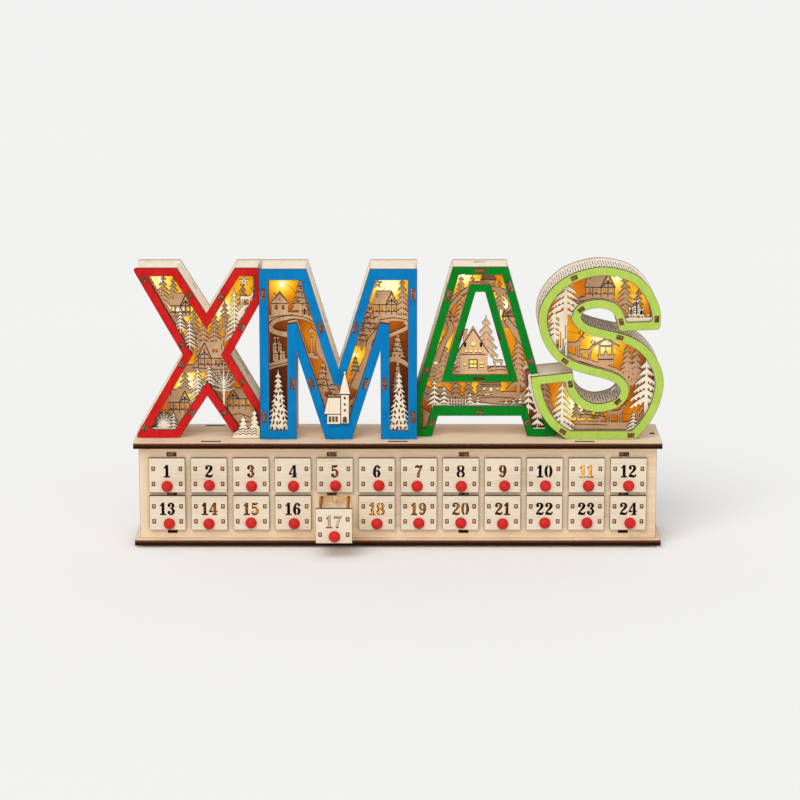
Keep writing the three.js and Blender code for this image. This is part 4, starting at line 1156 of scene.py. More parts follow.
def gifts(x, foot, boxes):
    """Parcels with ribbons: each is its offset, height above the foot, width and height."""
    solid = []
    lines = []
    for dx, up, width, height in boxes:
        a, b = x + dx, foot + up
        solid.append(rectangle(a - width / 2, a + width / 2, b - 1, b + height))
        solid += [almond(a + side * 1.3, b + height + 0.7, 3.2, 1.9, 90 - side * 55) for side in (-1, 1)]
        lines += [rectangle(a - 0.5, a - 0.2, b, b + height), rectangle(a + 0.2, a + 0.5, b, b + height),
                  rectangle(a - width / 2, a + width / 2, b + height * 0.72, b + height * 0.72 + 0.3)]
        lines += [disc(a + side * width * 0.3, b + height * share, 0.42, 6) for side in (-1, 1)
                  for share in (0.2, 0.48)]
    return figure(solid, [], lines)


def sledge(x, foot, width):
    """A sledge on curved runners, laden with parcels."""
    deck = foot + width * 0.2
    runner = stroke([(x - width * 0.5, foot + 0.4, 1.1), (x + width * 0.3, foot + 0.4, 1.1),
                     (x + width * 0.48, foot + width * 0.14, 1.1),
                     (x + width * 0.42, foot + width * 0.3, 0.9)])
    posts = [rectangle(a - 0.55, a + 0.55, foot, deck + 0.5) for a in (x - width * 0.34, x, x + width * 0.3)]
    load = gifts(x, deck + 1, [(-width * 0.27, 0, width * 0.3, width * 0.34),
                               (width * 0.06, 0, width * 0.34, width * 0.5),
                               (width * 0.33, 0, width * 0.2, width * 0.26),
                               (width * 0.02, width * 0.5, width * 0.24, width * 0.26)])
    load["solid"] += [runner, *posts, rectangle(x - width * 0.48, x + width * 0.44, deck, deck + 1.3)]
    return load


def ground(*run, deep=12, tracks=()):
    """A hill or ledge: its upper line from left to right, how deep it is, and drawn tracks on it."""
    upper = smooth(list(run), 5)
    lower = [(x, z - deep) for x, z in reversed(upper)]
    lines = [stroke([(*spot, 0.32) for spot in track], 4) for track in tracks]
    return figure([upper + lower], [], lines)


def winding_path(*spots):
    """A path that snakes down the hill, with both its banks drawn in."""
    body = stroke(list(spots), 6)
    half = len(body) // 2
    banks = []
    for side in (body[:half], body[half:]):
        banks.append(stroke([(x, z, 0.3) for x, z in side], 1))
    return figure([body], [], banks)


def picket_fence(x0, x1, foot, height):
    solid = [rectangle(x0, x1, foot + height * 0.3, foot + height * 0.42),
             rectangle(x0, x1, foot + height * 0.66, foot + height * 0.78)]
    count = max(2, round((x1 - x0) / 2.6))
    for k in range(count + 1):
        a = x0 + (x1 - x0) * k / count
        solid.append([(a - 0.5, foot - 1), (a + 0.5, foot - 1), (a + 0.5, foot + height * 0.9),
                      (a, foot + height),
                      (a - 0.5, foot + height * 0.9)])
    return figure(solid)


def lamp_post(x, foot, height):
    top = foot + height
    return figure(
        [rectangle(x - 0.8, x + 0.8, foot, top - 9), rectangle(x - 2.2, x + 2.2, foot - 1, foot + 1.6),
         [(x - 2, top - 10), (x + 2, top - 10), (x + 3.2, top - 3), (x - 3.2, top - 3)],
         [(x - 4, top - 3.4), (x + 4, top - 3.4), (x, top)]],
        [[(x - 1.3, top - 8.8), (x - 0.3, top - 8.8), (x - 0.3, top - 4.2), (x - 2, top - 4.2)],
         [(x + 0.3, top - 8.8), (x + 1.3, top - 8.8), (x + 2, top - 4.2), (x + 0.3, top - 4.2)]],
    )


def well_house(x, foot, size):
    """A roofed village well."""
    return figure([
        rectangle(x - size * 0.34, x + size * 0.34, foot - 1.5, foot + size * 0.34),
        rectangle(x - size * 0.4, x + size * 0.4, foot + size * 0.3, foot + size * 0.38),
        rectangle(x - size * 0.32, x - size * 0.24, foot, foot + size * 0.9),
        rectangle(x + size * 0.24, x + size * 0.32, foot, foot + size * 0.9),
        stroke([(x - size * 0.6, foot + size * 0.74, 1.9), (x, foot + size * 1.1, 1.9)], 1),
        stroke([(x + size * 0.6, foot + size * 0.74, 1.9), (x, foot + size * 1.1, 1.9)], 1),
        rectangle(x - size * 0.3, x + size * 0.3, foot + size * 0.72, foot + size * 0.79),
        disc(x, foot + size * 0.44, size * 0.09, 10),
        rectangle(x - 0.3, x + 0.3, foot + size * 0.5, foot + size * 0.74),
    ], [], [rectangle(x - size * 0.34, x + size * 0.34, foot + size * 0.16, foot + size * 0.19)])


def scenery(*parts):
    """One letter's figures together, moved from the letters' own measures to the part's."""
    whole = figure()
    for part in parts:
        for label, polygons in part.items():
            whole[label] += [on_letters(polygon) for polygon in polygons]
    return whole


pale_scenes = {
    "x": scenery(
        bough_fir(-191, 95, 22, 6.5, 6, 0.55, 0.5, 11),
        bough_fir(-183, 79, 28, 8, 7, 0.55, 0.5, 12),
        bough_fir(-143.5, 86, 47, 10, 10, 0.55, 0.6, 13),
        five_star(-134.6, 140.2, 4.6),
        figure([rectangle(-135, -134.2, 142, 150)]),
        stag(-132.5, 118.6, 13, 1),
        bough_fir(-176.5, 30, 33, 9, 8, 0.58, 0.5, 14),
        bough_fir(-166.5, 46, 19, 7, 5, 0.6, 0.5, 15),
        bare_tree(-153.6, 30, 42, 10.5),
        bare_tree(-207, 6, 13, 6),
        bough_fir(-198.5, 5, 17, 6, 5, 0.7, 0.4, 17),
        ground((-222, 8.6), (-212, 9), (-200, 8.4), (-186, 7), deep=6),
        ground((-141, 112), (-137, 117), (-133, 119.4), (-127, 119.4), (-118, 119.4), deep=9),
        cottage(-129.5, 108, 9, 6, 6, 1, False),
    ),
    "m": scenery(
        snowy_fir(-105.3, 6, 56, 9, 8, 21),
        snowy_fir(1, 6, 56, 9, 8, 22),
    ),
    "a": scenery(
        bough_fir(32.5, 26, 25, 7.5, 5, 0.66, 0.45, 31),
        bough_fir(41, 27, 18, 6, 4, 0.66, 0.45, 32),
        bough_fir(64, 28, 11, 5, 3, 0.7, 0.45, 33),
        bough_fir(71, 28, 8, 4, 3, 0.7, 0.45, 34),
        picket_fence(45, 60, 28, 6.5),
        bough_fir(96, 28, 6, 2.6, 2, 0.8, 0.4, 35),
        bough_fir(102.5, 28, 5, 2.6, 2, 0.8, 0.4, 36),
        bough_fir(108.5, 28, 10, 3.6, 3, 0.7, 0.4, 37),
        ground((30, 28.6), (40, 28.8), (56, 28.2), (72, 30), (88, 28.6), (104, 28.3), (112, 28), deep=8),
    ),
    "s": scenery(
        bough_fir(147, 106, 46, 18.5, 7, 0.66, 0.5, 41, 0.12),
        bough_fir(137.6, 86, 34, 9, 6, 0.8, 0.5, 42, 0.14),
        figure([rectangle(141.4, 148.8, 60, 112), rectangle(135.8, 139.2, 60, 92)],
               [rectangle(142.5, 143.3, 82, 96), rectangle(144.8, 145.6, 74, 90),
                rectangle(146.8, 147.6, 90, 102)],
               [stroke([(144, 66, 0.4), (143.6, 72, 0.4), (144, 80, 0.4)], 2),
                stroke([(147, 70, 0.4), (146.6, 78, 0.4), (147, 86, 0.4)], 2)]),
        bough_fir(145, 5, 46, 14, 7, 0.7, 0.55, 43, 0.14),
        bough_fir(219, 27, 45, 17, 6, 0.72, 0.5, 44, 0.12),
        figure([rectangle(217.2, 220.8, 6, 32)]),
        bough_fir(208, 7, 17, 7, 5, 0.7, 0.45, 45),
        sledge(208.5, 107.6, 15),
        ground((192, 107), (203, 109), (214, 109), (230, 110), deep=7),
        ground((122, 88), (128, 76), (138, 68), (152, 62), deep=8),
        ground((120, 40), (122, 24), (132, 10), (146, 4), deep=4),
        ground((228, 30), (234, 36), (238, 44), deep=8),
    ),
}
brown_scenes = {
    "x": scenery(
        bough_fir(-207, 114, 30, 8.5, 6, 0.74, 0.5, 51),
        bough_fir(-198, 118, 24, 7, 5, 0.74, 0.5, 52),
        timbered_house(-192, 107.5, 18, 8.5, 11, 1),
        bough_fir(-180, 84, 30, 8, 6, 0.78, 0.5, 53),
        bough_fir(-172, 78, 26, 8, 5, 0.78, 0.5, 54),
        timbered_house(-164.6, 60.6, 25, 8, 15, -1),
        bough_fir(-176.4, 60, 25, 5.5, 5, 1.0, 0.5, 59),
        figure([], [rectangle(-164, -162.4, 74, 76.4), rectangle(-161.2, -159.6, 74, 76.4)]),
        bough_fir(-162, 82, 27, 8, 6, 0.78, 0.5, 55),
        bough_fir(-153, 90, 30, 8, 6, 0.78, 0.5, 56),
        bough_fir(-137, 114, 24, 6, 5, 0.8, 0.5, 57),
        bough_fir(-189, 36, 24, 7, 5, 0.78, 0.5, 58),
        timbered_house(-194.6, 19, 20, 9.5, 11.5, 1),
        ground((-226, 24), (-212, 19), (-200, 19), (-190, 22), (-180, 30), deep=22,
               tracks=[[(-216, 14), (-206, 16), (-196, 12)], [(-214, 9), (-204, 10), (-196, 7)]]),
        timbered_house(-140.6, 22.4, 22, 9.5, 9.5, -1),
        ground((-168, 42), (-160, 30), (-150, 22), (-136, 22), (-118, 18), deep=16,
               tracks=[[(-150, 16), (-140, 18), (-128, 13)], [(-146, 10), (-134, 11), (-124, 8)]]),
        ground((-220, 118), (-208, 114), (-200, 106), (-190, 104), (-180, 88), (-168, 80), deep=6),
        ground((-190, 62), (-176, 63), (-160, 62), (-148, 70), deep=7,
               tracks=[[(-182, 60), (-168, 59), (-156, 58)]]),
        ground((-172, 82), (-160, 84), (-150, 92), (-140, 110), (-128, 120), deep=4),
        ground((-196, 42), (-186, 40), (-178, 44), (-170, 52), (-160, 50), deep=4),
        ground((-172, 50), (-160, 56), (-150, 54), (-146, 60), deep=3),
    ),
    "m": scenery(
        cottage(-104, 110, 15, 9, 11, 2),
        drawn_fir(-86, 110, 30, 9, 5, 12, 61),
        gifts(-78, 109, [(-4, 0, 6, 5), (3, 0, 5, 4)]),
        ground((-116, 107), (-106, 111), (-94, 111), (-82, 110), (-68, 103), deep=6,
               tracks=[[(-112, 106), (-100, 108), (-84, 107), (-74, 102)]]),
        winding_path((-92, 107, 4), (-108, 103, 4), (-112, 96, 5), (-104, 92, 5), (-92, 91, 6)),
        gifts(-104, 68, [(-1, 0, 11, 8), (-2.5, 8, 8, 7), (-3, 15.5, 5, 4)]),
        ground((-116, 64), (-108, 67), (-100, 69), (-90, 72), deep=6,
               tracks=[[(-114, 62), (-104, 64), (-94, 67)]]),
        lamp_post(-76, 73, 24),
        ground((-84, 78), (-78, 74), (-72, 72), (-66, 74), deep=3.5),
        winding_path((-66, 103, 4), (-70, 90, 4), (-69, 76, 6), (-61, 64, 6), (-60, 52, 7), (-54, 34, 10)),
        drawn_fir(-66, 36, 31, 9, 5, 16, 62),
        drawn_fir(-58, 30, 20, 6, 4, 6, 63),
        ground((-78, 46), (-68, 38), (-60, 33), (-52, 28), (-42, 32), deep=30,
               tracks=[[(-62, 30), (-56, 24), (-50, 24)]]),
        five_star(-18, 136.5, 5),
        timbered_house(-11, 109, 21, 9, 12, 1),
        bough_fir(4, 106, 36, 8, 6, 0.85, 0.5, 64),
        ground((-28, 100), (-18, 107), (-4, 109), (12, 108), deep=6,
               tracks=[[(-16, 104), (-4, 106), (8, 104)]]),
        winding_path((6, 103, 4), (9, 98, 4), (0, 93, 4), (-12, 88, 4)),
        drawn_fir(-25, 88, 32, 9, 6, 20, 65),
        drawn_fir(-32, 78, 26, 7, 5, 12, 66),
        drawn_fir(0, 68, 25, 7.5, 5, 8, 67),
        ground((-10, 70), (0, 71), (12, 64), deep=5),
        drawn_fir(0, 38, 30, 6, 5, 0, 68),
        winding_path((-18, 94, 4), (-25, 84, 5), (-26, 72, 6), (-32, 58, 7), (-39, 42, 8)),
        drawn_fir(-37.5, 52, 21, 5.5, 5, 0, 69),
        ground((-44, 46), (-38, 52), (-33, 52), (-26, 58), deep=4),
        ground((-48, 30), (-40, 33), (-34, 40), (-26, 50), deep=5),
    ),
    "a": scenery(
        bough_fir(56, 122, 20, 6, 4, 0.8, 0.5, 71),
        bough_fir(66, 124, 18, 6, 4, 0.8, 0.5, 72),
        bough_fir(90, 108, 30, 7, 6, 0.8, 0.5, 73),
        farmhouse(80, 134, 13, 4, 5, 2),
        ground((44, 122), (54, 126), (66, 131), (84, 132), (100, 128), deep=5,
               tracks=[[(56, 124), (68, 128), (86, 128)]]),
        winding_path((62, 130, 4), (50, 118, 4), (44, 106, 4), (47, 94, 5), (40, 80, 5), (34, 64, 6)),
        bough_fir(55, 100, 26, 6, 5, 0.85, 0.5, 74),
        cottage(44, 98, 11, 7, 7, 2),
        ground((36, 98), (44, 99), (54, 101), deep=5),
        bough_fir(40, 42, 45, 12, 8, 0.85, 0.55, 75),
        bough_fir(30, 44, 30, 8, 6, 0.85, 0.5, 70),
        winding_path((94, 126, 3.5), (100, 116, 4), (95, 106, 4), (102, 94, 6), (114, 80, 8)),
        farmhouse(99, 100, 13, 5, 6, 2),
        ground((88, 100), (96, 101), (106, 98), deep=6),
        bough_fir(107, 38, 52, 11, 9, 0.88, 0.6, 77, 0.16),
        bough_fir(118, 34, 34, 9, 7, 0.88, 0.6, 76, 0.16),
        ground((60, 36), (78, 33), (94, 37), (112, 36), (132, 30), deep=8,
               tracks=[[(70, 31), (88, 32), (104, 31)]]),
        bough_fir(52, 30, 24, 7, 5, 0.85, 0.5, 78),
        bough_fir(63, 30, 22, 7, 5, 0.85, 0.5, 79),
        farmhouse(83, 36, 17, 6, 8, 3),
        bough_fir(73, 32, 20, 5, 5, 0.85, 0.5, 80),
        ground((10, 46), (22, 44), (30, 40), (42, 40), (52, 30), deep=14,
               tracks=[[(24, 36), (32, 33), (42, 34)]]),
        ground((14, 20), (22, 22), (30, 16), deep=20),
    ),
    "s": scenery(
        timbered_house(178, 125, 26, 8.5, 13.5, 1),
        bough_fir(200, 110, 34, 10, 6, 0.78, 0.5, 81),
        bough_fir(212, 106, 26, 8, 5, 0.78, 0.5, 82),
        ground((152, 122), (166, 125), (184, 125), (196, 116), (206, 106), deep=9,
               tracks=[[(160, 121), (174, 122), (188, 120)]]),
        ground((124, 92), (136, 86), (146, 78), (156, 72.5), (166, 69), deep=26),
        stag(154.5, 73, 17, 1),
        stag(166.5, 68.6, 13.5, 1),
        well_house(184, 65, 20),
        ground((146, 76), (156, 72), (166, 69), (178, 65.5), (194, 60), (206, 50), deep=12,
               tracks=[[(160, 67), (176, 62), (192, 55)]]),
        bough_fir(203, 50, 32, 9, 6, 1.05, 0.5, 83),
        bough_fir(211, 42, 38, 10, 6, 1.05, 0.5, 84),
        bough_fir(130, 18, 36, 11, 6, 0.9, 0.55, 85),
        drawn_fir(168, 13, 18, 8, 5, 12, 86),
        drawn_fir(179, 12.5, 15, 7, 5, 10, 87),
        bough_fir(159, 14, 20, 6, 5, 0.8, 0.5, 88),
        stag(193, 11.4, 17, 1),
        ground((128, 18), (148, 13), (166, 12.6), (190, 12), (214, 12), (230, 16), deep=14,
               tracks=[[(152, 10), (168, 9.6), (186, 9)]]),
        ground((222, 42), (230, 38), (236, 44), deep=8),
    ),
}
window_lips = {"x": 0.1, "m": 0.1, "a": 0.1, "s": 0.5}
under_frame = 5.3
clear_of_s = -5.6
x_outline = [
    (-232.5, 0), (-193.2, 0), (-168, 37.9), (-142.8, 0), (-121.4, 0), (-121.4, 30.7), (-147, 74.7),
    (-121.4, 120.4), (-121.4, 152.4), (-142.8, 152.4), (-168, 111.7), (-193.2, 152.4), (-232.5, 152.4),
    (-189, 74.7),
]
a_outline = [
    (17.3, 0), (30.15, 0), (35.75, 18.7), (109.15, 18.7), (114.75, 0), (140.15, 0), (96.7, 152.4),
    (48.2, 152.4), (17.3, 44),
]
a_window = [
    (20.7, 7), (24.94, 7), (31.14, 27.7), (113.76, 27.7), (119.96, 7), (130.88, 7), (91.42, 145.4),
    (53.48, 145.4), (20.7, 30.4),
]


def past_the_s(distance):
    """What the S covers beside the A: its left flank moved by a distance, closed far to the right."""
    face = letter_outlines("s_front_frame")[0]
    face = face if turn_area(face) > 0 else face[::-1]
    moved = moved_in(face, distance)
    count = len(face)
    on_a = [(x - letter_middle, z - letter_floor) for x, z in face]
    foot, waist, top = 4, 40, 62
    foot_reach, waist_reach = 136, 127
    flank = [i for i, (x, z) in enumerate(on_a) if foot < z < top
             and x < (waist_reach if z > waist else foot_reach)]
    first = next(i for i in flank if (i - 1) % count not in flank)
    run = [moved[(first + k) % count] for k in range(len(flank))]
    far = letter_middle + 160
    return [*run, (far, run[-1][1]), (far, run[0][1])]


def layer_outline(letter, under_ring):
    """The outline of a layer that fits between the strip walls."""
    if letter == "x":
        return [inset(on_letters(x_outline), under_frame)]
    if letter == "a":
        return [inset(on_letters(a_outline), under_frame),
                inset(letter_outlines("a_counter_frame")[0], under_ring)]
    return letter_outlines(letter + "_scene_layer")[:1]


def scene_sheet(node, letter, drawn, looks, slot):
    """One cut-out layer: its figures, joined to a rim that is hidden behind the frame."""
    low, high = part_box(node)
    lip = window_lips[letter]
    shapes = {"edge": layer_outline(letter, 1.2), "window": [], "beside": []}
    if letter == "a":
        ring = letter_outlines("a_counter_frame")[0]
        shapes["window"] = [inset(on_letters(a_window), lip), inset(ring, -lip)]
        shapes["beside"] = [past_the_s(clear_of_s)]
    else:
        shapes["window"] = [inset(letter_outlines(letter + "_front_frame")[1], lip)]
    sheet = cut_sheet(
        node + "_sheet",
        {**shapes, **drawn},
        lambda count: count["edge"] % 2 and not count["beside"] and (
            not count["window"] % 2 or (count["solid"] and not count["hole"])
        ),
        standing(low.y / mm),
        (high.y - low.y) / mm,
        looks,
        char=0.2,
        whole=True,
    )
    return dress(sheet, "case", slot, node)


for letter in "xmas":
    scene_sheet(letter + "_pale_fir_layer", letter, pale_scenes[letter], pale_looks, "pale_ply")
    scene_sheet(letter + "_scene_layer", letter, brown_scenes[letter], scene_looks, "scene_ply")

# The strip walls: pale birch strips on edge between frame and back board, butted at the corners.
# Their long edges and their tab ends, which reach through the boards, are charred.
strip_reach = {"x": (22.2, 64.3), "m": (16.6, 64.3), "a": (27.5, 64.3), "s": (16.6, 64.3)}
plates_front = plate_low.y / mm


def strip_finish(letter):
    front, back = [(plates_front + y) * mm for y in strip_reach[letter]]
    made, surface = finish(letter + "_strip_birch", 0.65)
    place = own_place(made)
    grain = noise(made, 420.0, 4.0, Vector=stretched(made, place, (0.3, 1, 0.3)))
    wood = ramp(made, grain, [(0.3, (238, 220, 198)), (0.65, (249, 240, 225))])
    depth = add_node(made, "SeparateXYZ", {"Vector": place}).outputs["Y"]
    soot_reach = 0.25
    before = maths(made, "LESS_THAN", depth, front + (thin_board + soot_reach) * mm)
    behind = maths(made, "GREATER_THAN", depth, back - soot_reach * mm)
    burnt = ramp(made, noise(made, 640.0, Vector=place), [(0.42, (66, 28, 16)), (0.6, (160, 98, 58))])
    link(made, mixed_colours(made, maths(made, "MAXIMUM", before, behind), wood, burnt), surface,
         "Base Color")
    relief(made, surface, grain, 0.2, 0.0002)
    return made


strip_finishes = {letter: strip_finish(letter) for letter in "xmas"}
for letter in "xma":
    repaint(letter + "_strip_wall", strip_finishes[letter])

# The strip round the S bends. Where it bends, staggered slits are cut right through it, which make it
# supple; its two ends meet in a fine joint.
bend_pitch = 2.3
slit_width = 0.42


class Track:
    """A path in the letter's plane; the strip's visible face lies on it and its wall to the left."""

    def __init__(self, loop):
        self.spots = [Vector(p) for p in loop] + [Vector(loop[0])]
        steps = [(b - a).normalized() for a, b in zip(self.spots, self.spots[1:])]
        self.lengths = [0]
        for a, b in zip(self.spots, self.spots[1:]):
            self.lengths.append(self.lengths[-1] + (b - a).length)
        self.sides = []
        for i in range(len(self.spots)):
            n0 = Vector((-steps[i - 1].y, steps[i - 1].x)) if i else Vector((-steps[-1].y, steps[-1].x))
            n1 = Vector((-steps[i % len(steps)].y, steps[i % len(steps)].x))
            self.sides.append((n0 + n1) / max(0.4, 1 + n0.dot(n1)))
        self.bends = [abs(steps[i - 1].angle_signed(steps[i % len(steps)], 0))
                      for i in range(len(self.spots))]

    def at(self, u, depth):
        for i in range(len(self.spots) - 1):
            if u <= self.lengths[i + 1] or i == len(self.spots) - 2:
                break
        t = (u - self.lengths[i]) / (self.lengths[i + 1] - self.lengths[i])
        side = self.sides[i].lerp(self.sides[i + 1], t)
        return self.spots[i].lerp(self.spots[i + 1], t) + side * depth


def bent_strip(name, loop, y0, y1, bend_starts, looks):
    """A strip on edge round a loop, with staggered slits in its bends."""
    track = Track(loop)
    whole = track.lengths[-1]
    folds = [rectangle(a, b, y0 - 1, y1 + 1) for a, b in zip(track.lengths[::2], track.lengths[1::2])]
    slits = []
    deep = y1 - y0
    runs = ((0.07, 0.46), (0.54, 0.93)), ((-0.02, 0.22), (0.29, 0.71), (0.78, 1.02))
    for start, end in bend_starts(track):
        count = int((end - start) / bend_pitch)
        for k in range(1, count):
            u = start + (end - start) * k / count
            for a, b in runs[k % 2]:
                slits.append(rectangle(u - slit_width / 2, u + slit_width / 2, y0 + a * deep, y0 + b * deep))
    return cut_sheet(
        name,
        {"strip": [rectangle(0.08, whole - 0.08, y0, y1)], "slit": slits, "fold": folds},
        lambda count: count["strip"] and not count["slit"],
        lambda u, v, depth: [c * mm for c in (track.at(u, depth).x, v, track.at(u, depth).y)],
        thin_board,
        looks,
        char=0.12,
    )


def gentle_bends(track):
    """The stretches between real corners that bend: where each begins and ends."""
    sharp = [track.lengths[i] for i in range(1, len(track.spots) - 1) if track.bends[i] > 0.5]
    corners = [0, *sharp, track.lengths[-1]]
    found = []
    for start, end in zip(corners, corners[1:]):
        inside = [track.bends[i] for i, u in enumerate(track.lengths) if start + 1 < u < end - 1]
        if sum(inside) > 0.5:
            found.append((start + 5, end - 5))
    return found


strip_char = charred("strip_char", (96, 54, 32), (70, 36, 20), (50, 24, 12))
s_reach = [plates_front + y for y in strip_reach["s"]]
s_looks = (strip_finishes["s"], strip_char, strip_finishes["s"])
strip_inset = 2
strip_behind_front = 3.1
strip_end_gap = 0.1
tab_depth = 3.1
s_loop = inset(letter_outlines("s_front_frame")[0], strip_inset)
s_strip = bent_strip("s_slit_strip", s_loop, s_reach[0] + strip_behind_front, s_reach[1] - strip_end_gap,
                     gentle_bends, s_looks)
dress(s_strip, "case", "pale_ply", "s_strip_wall")
s_tabs = cut_sheet(
    "s_strip_tabs",
    {"tab": [inset(loop, 0.05) for loop in letter_outlines("s_front_frame")[2:]]},
    lambda count: count["tab"],
    standing(s_reach[0] + 0.02),
    tab_depth,
    s_looks,
    char=0.1,
)
dress(s_tabs, "case", "pale_ply")

# Back boards of natural birch, each lined inside with a thin sheet. Small lamps on a wire sit close in front
# of it, and the sheet's glow is painted light: it shines by itself, from white and yellow near a lamp to deep
# brown in the far corners.
lamps = {
    "x": [((-196, 107), 1.0), ((-155, 107), 1.0), ((-187, 39), 1.3), ((-211, 135), 0.7), ((-136, 130), 0.28),
          ((-137, 24), 0.28)],
    "m": [((-9, 131), 1.6), ((-103, 131), 0.7), ((-57, 50), 0.3), ((-73, 84), 0.22), ((-38, 66), 0.5)],
    "a": [((97, 110), 1.3), ((58, 139), 1.0), ((30.5, 58), 1.0), ((81, 33), 0.9), ((104, 74), 0.1),
          ((44, 78), 0.28)],
    "s": [((183, 80), 1.3), ((162, 20), 1.4), ((195, 136), 0.7), ((145, 90), 0.25), ((214, 12), 0.16),
          ((214, 118), 0.3), ((146, 124), 0.25)],
}
board_face = 64.3
glow_reach = 9 * mm
lining_inset = 1.3
lining_gap = 0.4
lining_thickness = 0.35


def lamp_light(made, letter):
    """How strongly the painted glow shows at a place, by distance from the lamps: 0 far away, and at a lamp
    that lamp's strength or more.
    """
    place = own_place(made)
    total = None
    for (x, z), strength in lamps[letter]:
        centre = ((x + letter_middle) * mm, (plates_front + board_face) * mm, (z + letter_floor) * mm)
        flat = add_node(made, "VectorMath", {0: place, 1: centre}, operation="SUBTRACT").outputs[0]
        flat = add_node(made, "VectorMath", {0: flat, 1: (1 / glow_reach, 0, 1 / glow_reach)},
                        operation="MULTIPLY").outputs[0]
        away = add_node(made, "VectorMath", {0: flat, 1: flat}, operation="DOT_PRODUCT").outputs["Value"]
        share = maths(made, "DIVIDE", strength, maths(made, "ADD", away, 1.0))
        total = share if total is None else maths(made, "ADD", total, share)
    return total


# Painted light: the lining shines by itself, its colour set by distance from the lamps, in place of the lamps
# lighting it.
def lit_lining(letter):
    made, surface = finish(letter + "_lit_lining", 0.9, (40, 20, 10))
    grain = noise(made, 160.0, 3.0, Vector=own_place(made))
    wave = add_node(made, "MapRange", {"Value": grain, "To Min": 0.86, "To Max": 1.14}).outputs["Result"]
    tint(made, surface, maths(made, "MULTIPLY", lamp_light(made, letter), wave), [
        (0.03, (64, 26, 16)), (0.08, (122, 56, 18)), (0.17, (206, 112, 16)), (0.32, (244, 172, 24)),
        (0.55, (255, 226, 70)), (0.85, (255, 250, 190)),
    ], "Emission Color")
    surface.inputs["Emission Strength"].default_value = 1.0
    return made


board_edge = charred("back_board_char", (208, 174, 136), (182, 142, 102), (100, 58, 34))
for letter in "xmas":
    node = letter + "_back_board"
    low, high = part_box(node)
    loops = letter_outlines(node)
    board = cut_sheet(
        node + "_sheet",
        {"outline": loops},
        lambda count: count["outline"] % 2,
        standing(low.y / mm),
        (high.y - low.y) / mm,
        (letter_ply, board_edge, letter_ply),
        char=0.25,
    )
    dress(board, "case", "natural_ply", node)
    glow = lit_lining(letter)
    beside = [past_the_s(clear_of_s)] if letter == "a" else []
    lining = cut_sheet(
        letter + "_lining",
        {"sheet": layer_outline(letter, lining_inset), "beside": beside},
        lambda count: count["sheet"] % 2 and not count["beside"],
        standing(low.y / mm - lining_gap),
        lining_thickness,
        (glow, glow, letter_ply),
        char=0.05,
    )
    dress(lining, "case", "pale_ply")

lamp_glass, lamp_surface = finish("lamp_glass", 0.3, (255, 244, 200))
tint(lamp_glass, lamp_surface, noise(lamp_glass, 900.0), [(0, (255, 226, 150)), (1, (255, 246, 214))],
     "Emission Color")
lamp_surface.inputs["Emission Strength"].default_value = 3.0
wire_finish, wire_surface = finish("copper_wire", 0.35, (176, 104, 52))
wire_surface.inputs["Metallic"].default_value = 0.8
tint(wire_finish, wire_surface, noise(wire_finish, 700.0), [(0.3, (150, 84, 40)), (0.7, (196, 122, 66))])


def node_tree(name, inputs, result, kinds, links):
    """Geometry Nodes: named inputs and one result; a link reads (node, its output, next node, its input)."""
    tree = bpy.data.node_groups.new(name, "GeometryNodeTree")
    keys = {
        label: tree.interface.new_socket(label, in_out="INPUT", socket_type="NodeSocket" + kind).identifier
        for label, kind in inputs.items()
    }
    tree.interface.new_socket(result, in_out="OUTPUT", socket_type="NodeSocketGeometry")
    kinds = {"source": "NodeGroupInput", "sink": "NodeGroupOutput", **kinds}
    nodes = {label: tree.nodes.new(kind) for label, kind in kinds.items()}
    for a, output, b, entry in links:
        tree.links.new(nodes[a].outputs[output], nodes[b].inputs[entry])
    return tree, nodes, keys


def grown(name, start, tree, settings):
    """Runs a node tree on a piece and gives its result as a plain mesh."""
    grower = start.modifiers.new("grow", "NODES")
    grower.node_group = tree
    for key, value in settings.items():
        grower[key] = value
    graph = bpy.context.evaluated_depsgraph_get()
    mesh = bpy.data.meshes.new_from_object(start.evaluated_get(graph))
    start.modifiers.clear()
    bpy.data.objects.remove(start)
    mesh.name = name
    return object_from(name, mesh)


wires, wire_nodes, wire_keys = node_tree(
    "lamp_wire",
    {"Path": "Geometry", "Wire thickness": "Float", "Wire finish": "Material"},
    "Wire",
    {"to_curve": "GeometryNodeMeshToCurve", "ring": "GeometryNodeCurvePrimitiveCircle",
     "halve": "ShaderNodeMath",
     "sweep": "GeometryNodeCurveToMesh", "real": "GeometryNodeRealizeInstances",
     "paint": "GeometryNodeSetMaterial"},
    [
        ("source", "Path", "to_curve", "Mesh"),
        ("source", "Wire thickness", "halve", 0),
        ("halve", 0, "ring", "Radius"),
        ("to_curve", "Curve", "sweep", "Curve"),
        ("ring", "Curve", "sweep", "Profile Curve"),
        ("sweep", "Mesh", "real", "Geometry"),
        ("real", "Geometry", "paint", "Geometry"),
        ("source", "Wire finish", "paint", "Material"),
        ("paint", "Geometry", "sink", "Wire"),
    ],
)
wire_nodes["ring"].inputs["Resolution"].default_value = 8
wire_nodes["halve"].operation = "MULTIPLY"
wire_nodes["halve"].inputs[1].default_value = 0.5
wire_nodes["sweep"].inputs["Fill Caps"].default_value = True
wire_routes = {
    "x": [(-211, 135), (-196, 107), (-176, 82), (-165, 84), (-155, 107), (-136, 130), (-155, 104), (-167, 72),
          (-187, 39),
          (-172, 56), (-160, 52), (-137, 24)],
    "m": [(-103, 131), (-92, 124), (-73, 84), (-57, 50), (-50, 40), (-38, 66), (-20, 112), (-9, 131)],
    "a": [(30.5, 58), (40, 80), (52, 122), (58, 139), (84, 140), (97, 110), (106, 74), (116, 36), (81, 33)],
    "s": [(214, 118), (195, 136), (170, 141), (146, 124), (145, 92), (183, 80), (216, 52), (214, 14),
          (162, 18)],
}
wire_size = 0.4 * mm
least_bulb = 0.3
bulb_power = 0.012
bulb_sides = 14
bulb_colour = (1.0, 0.66, 0.25)
light_ahead = 7
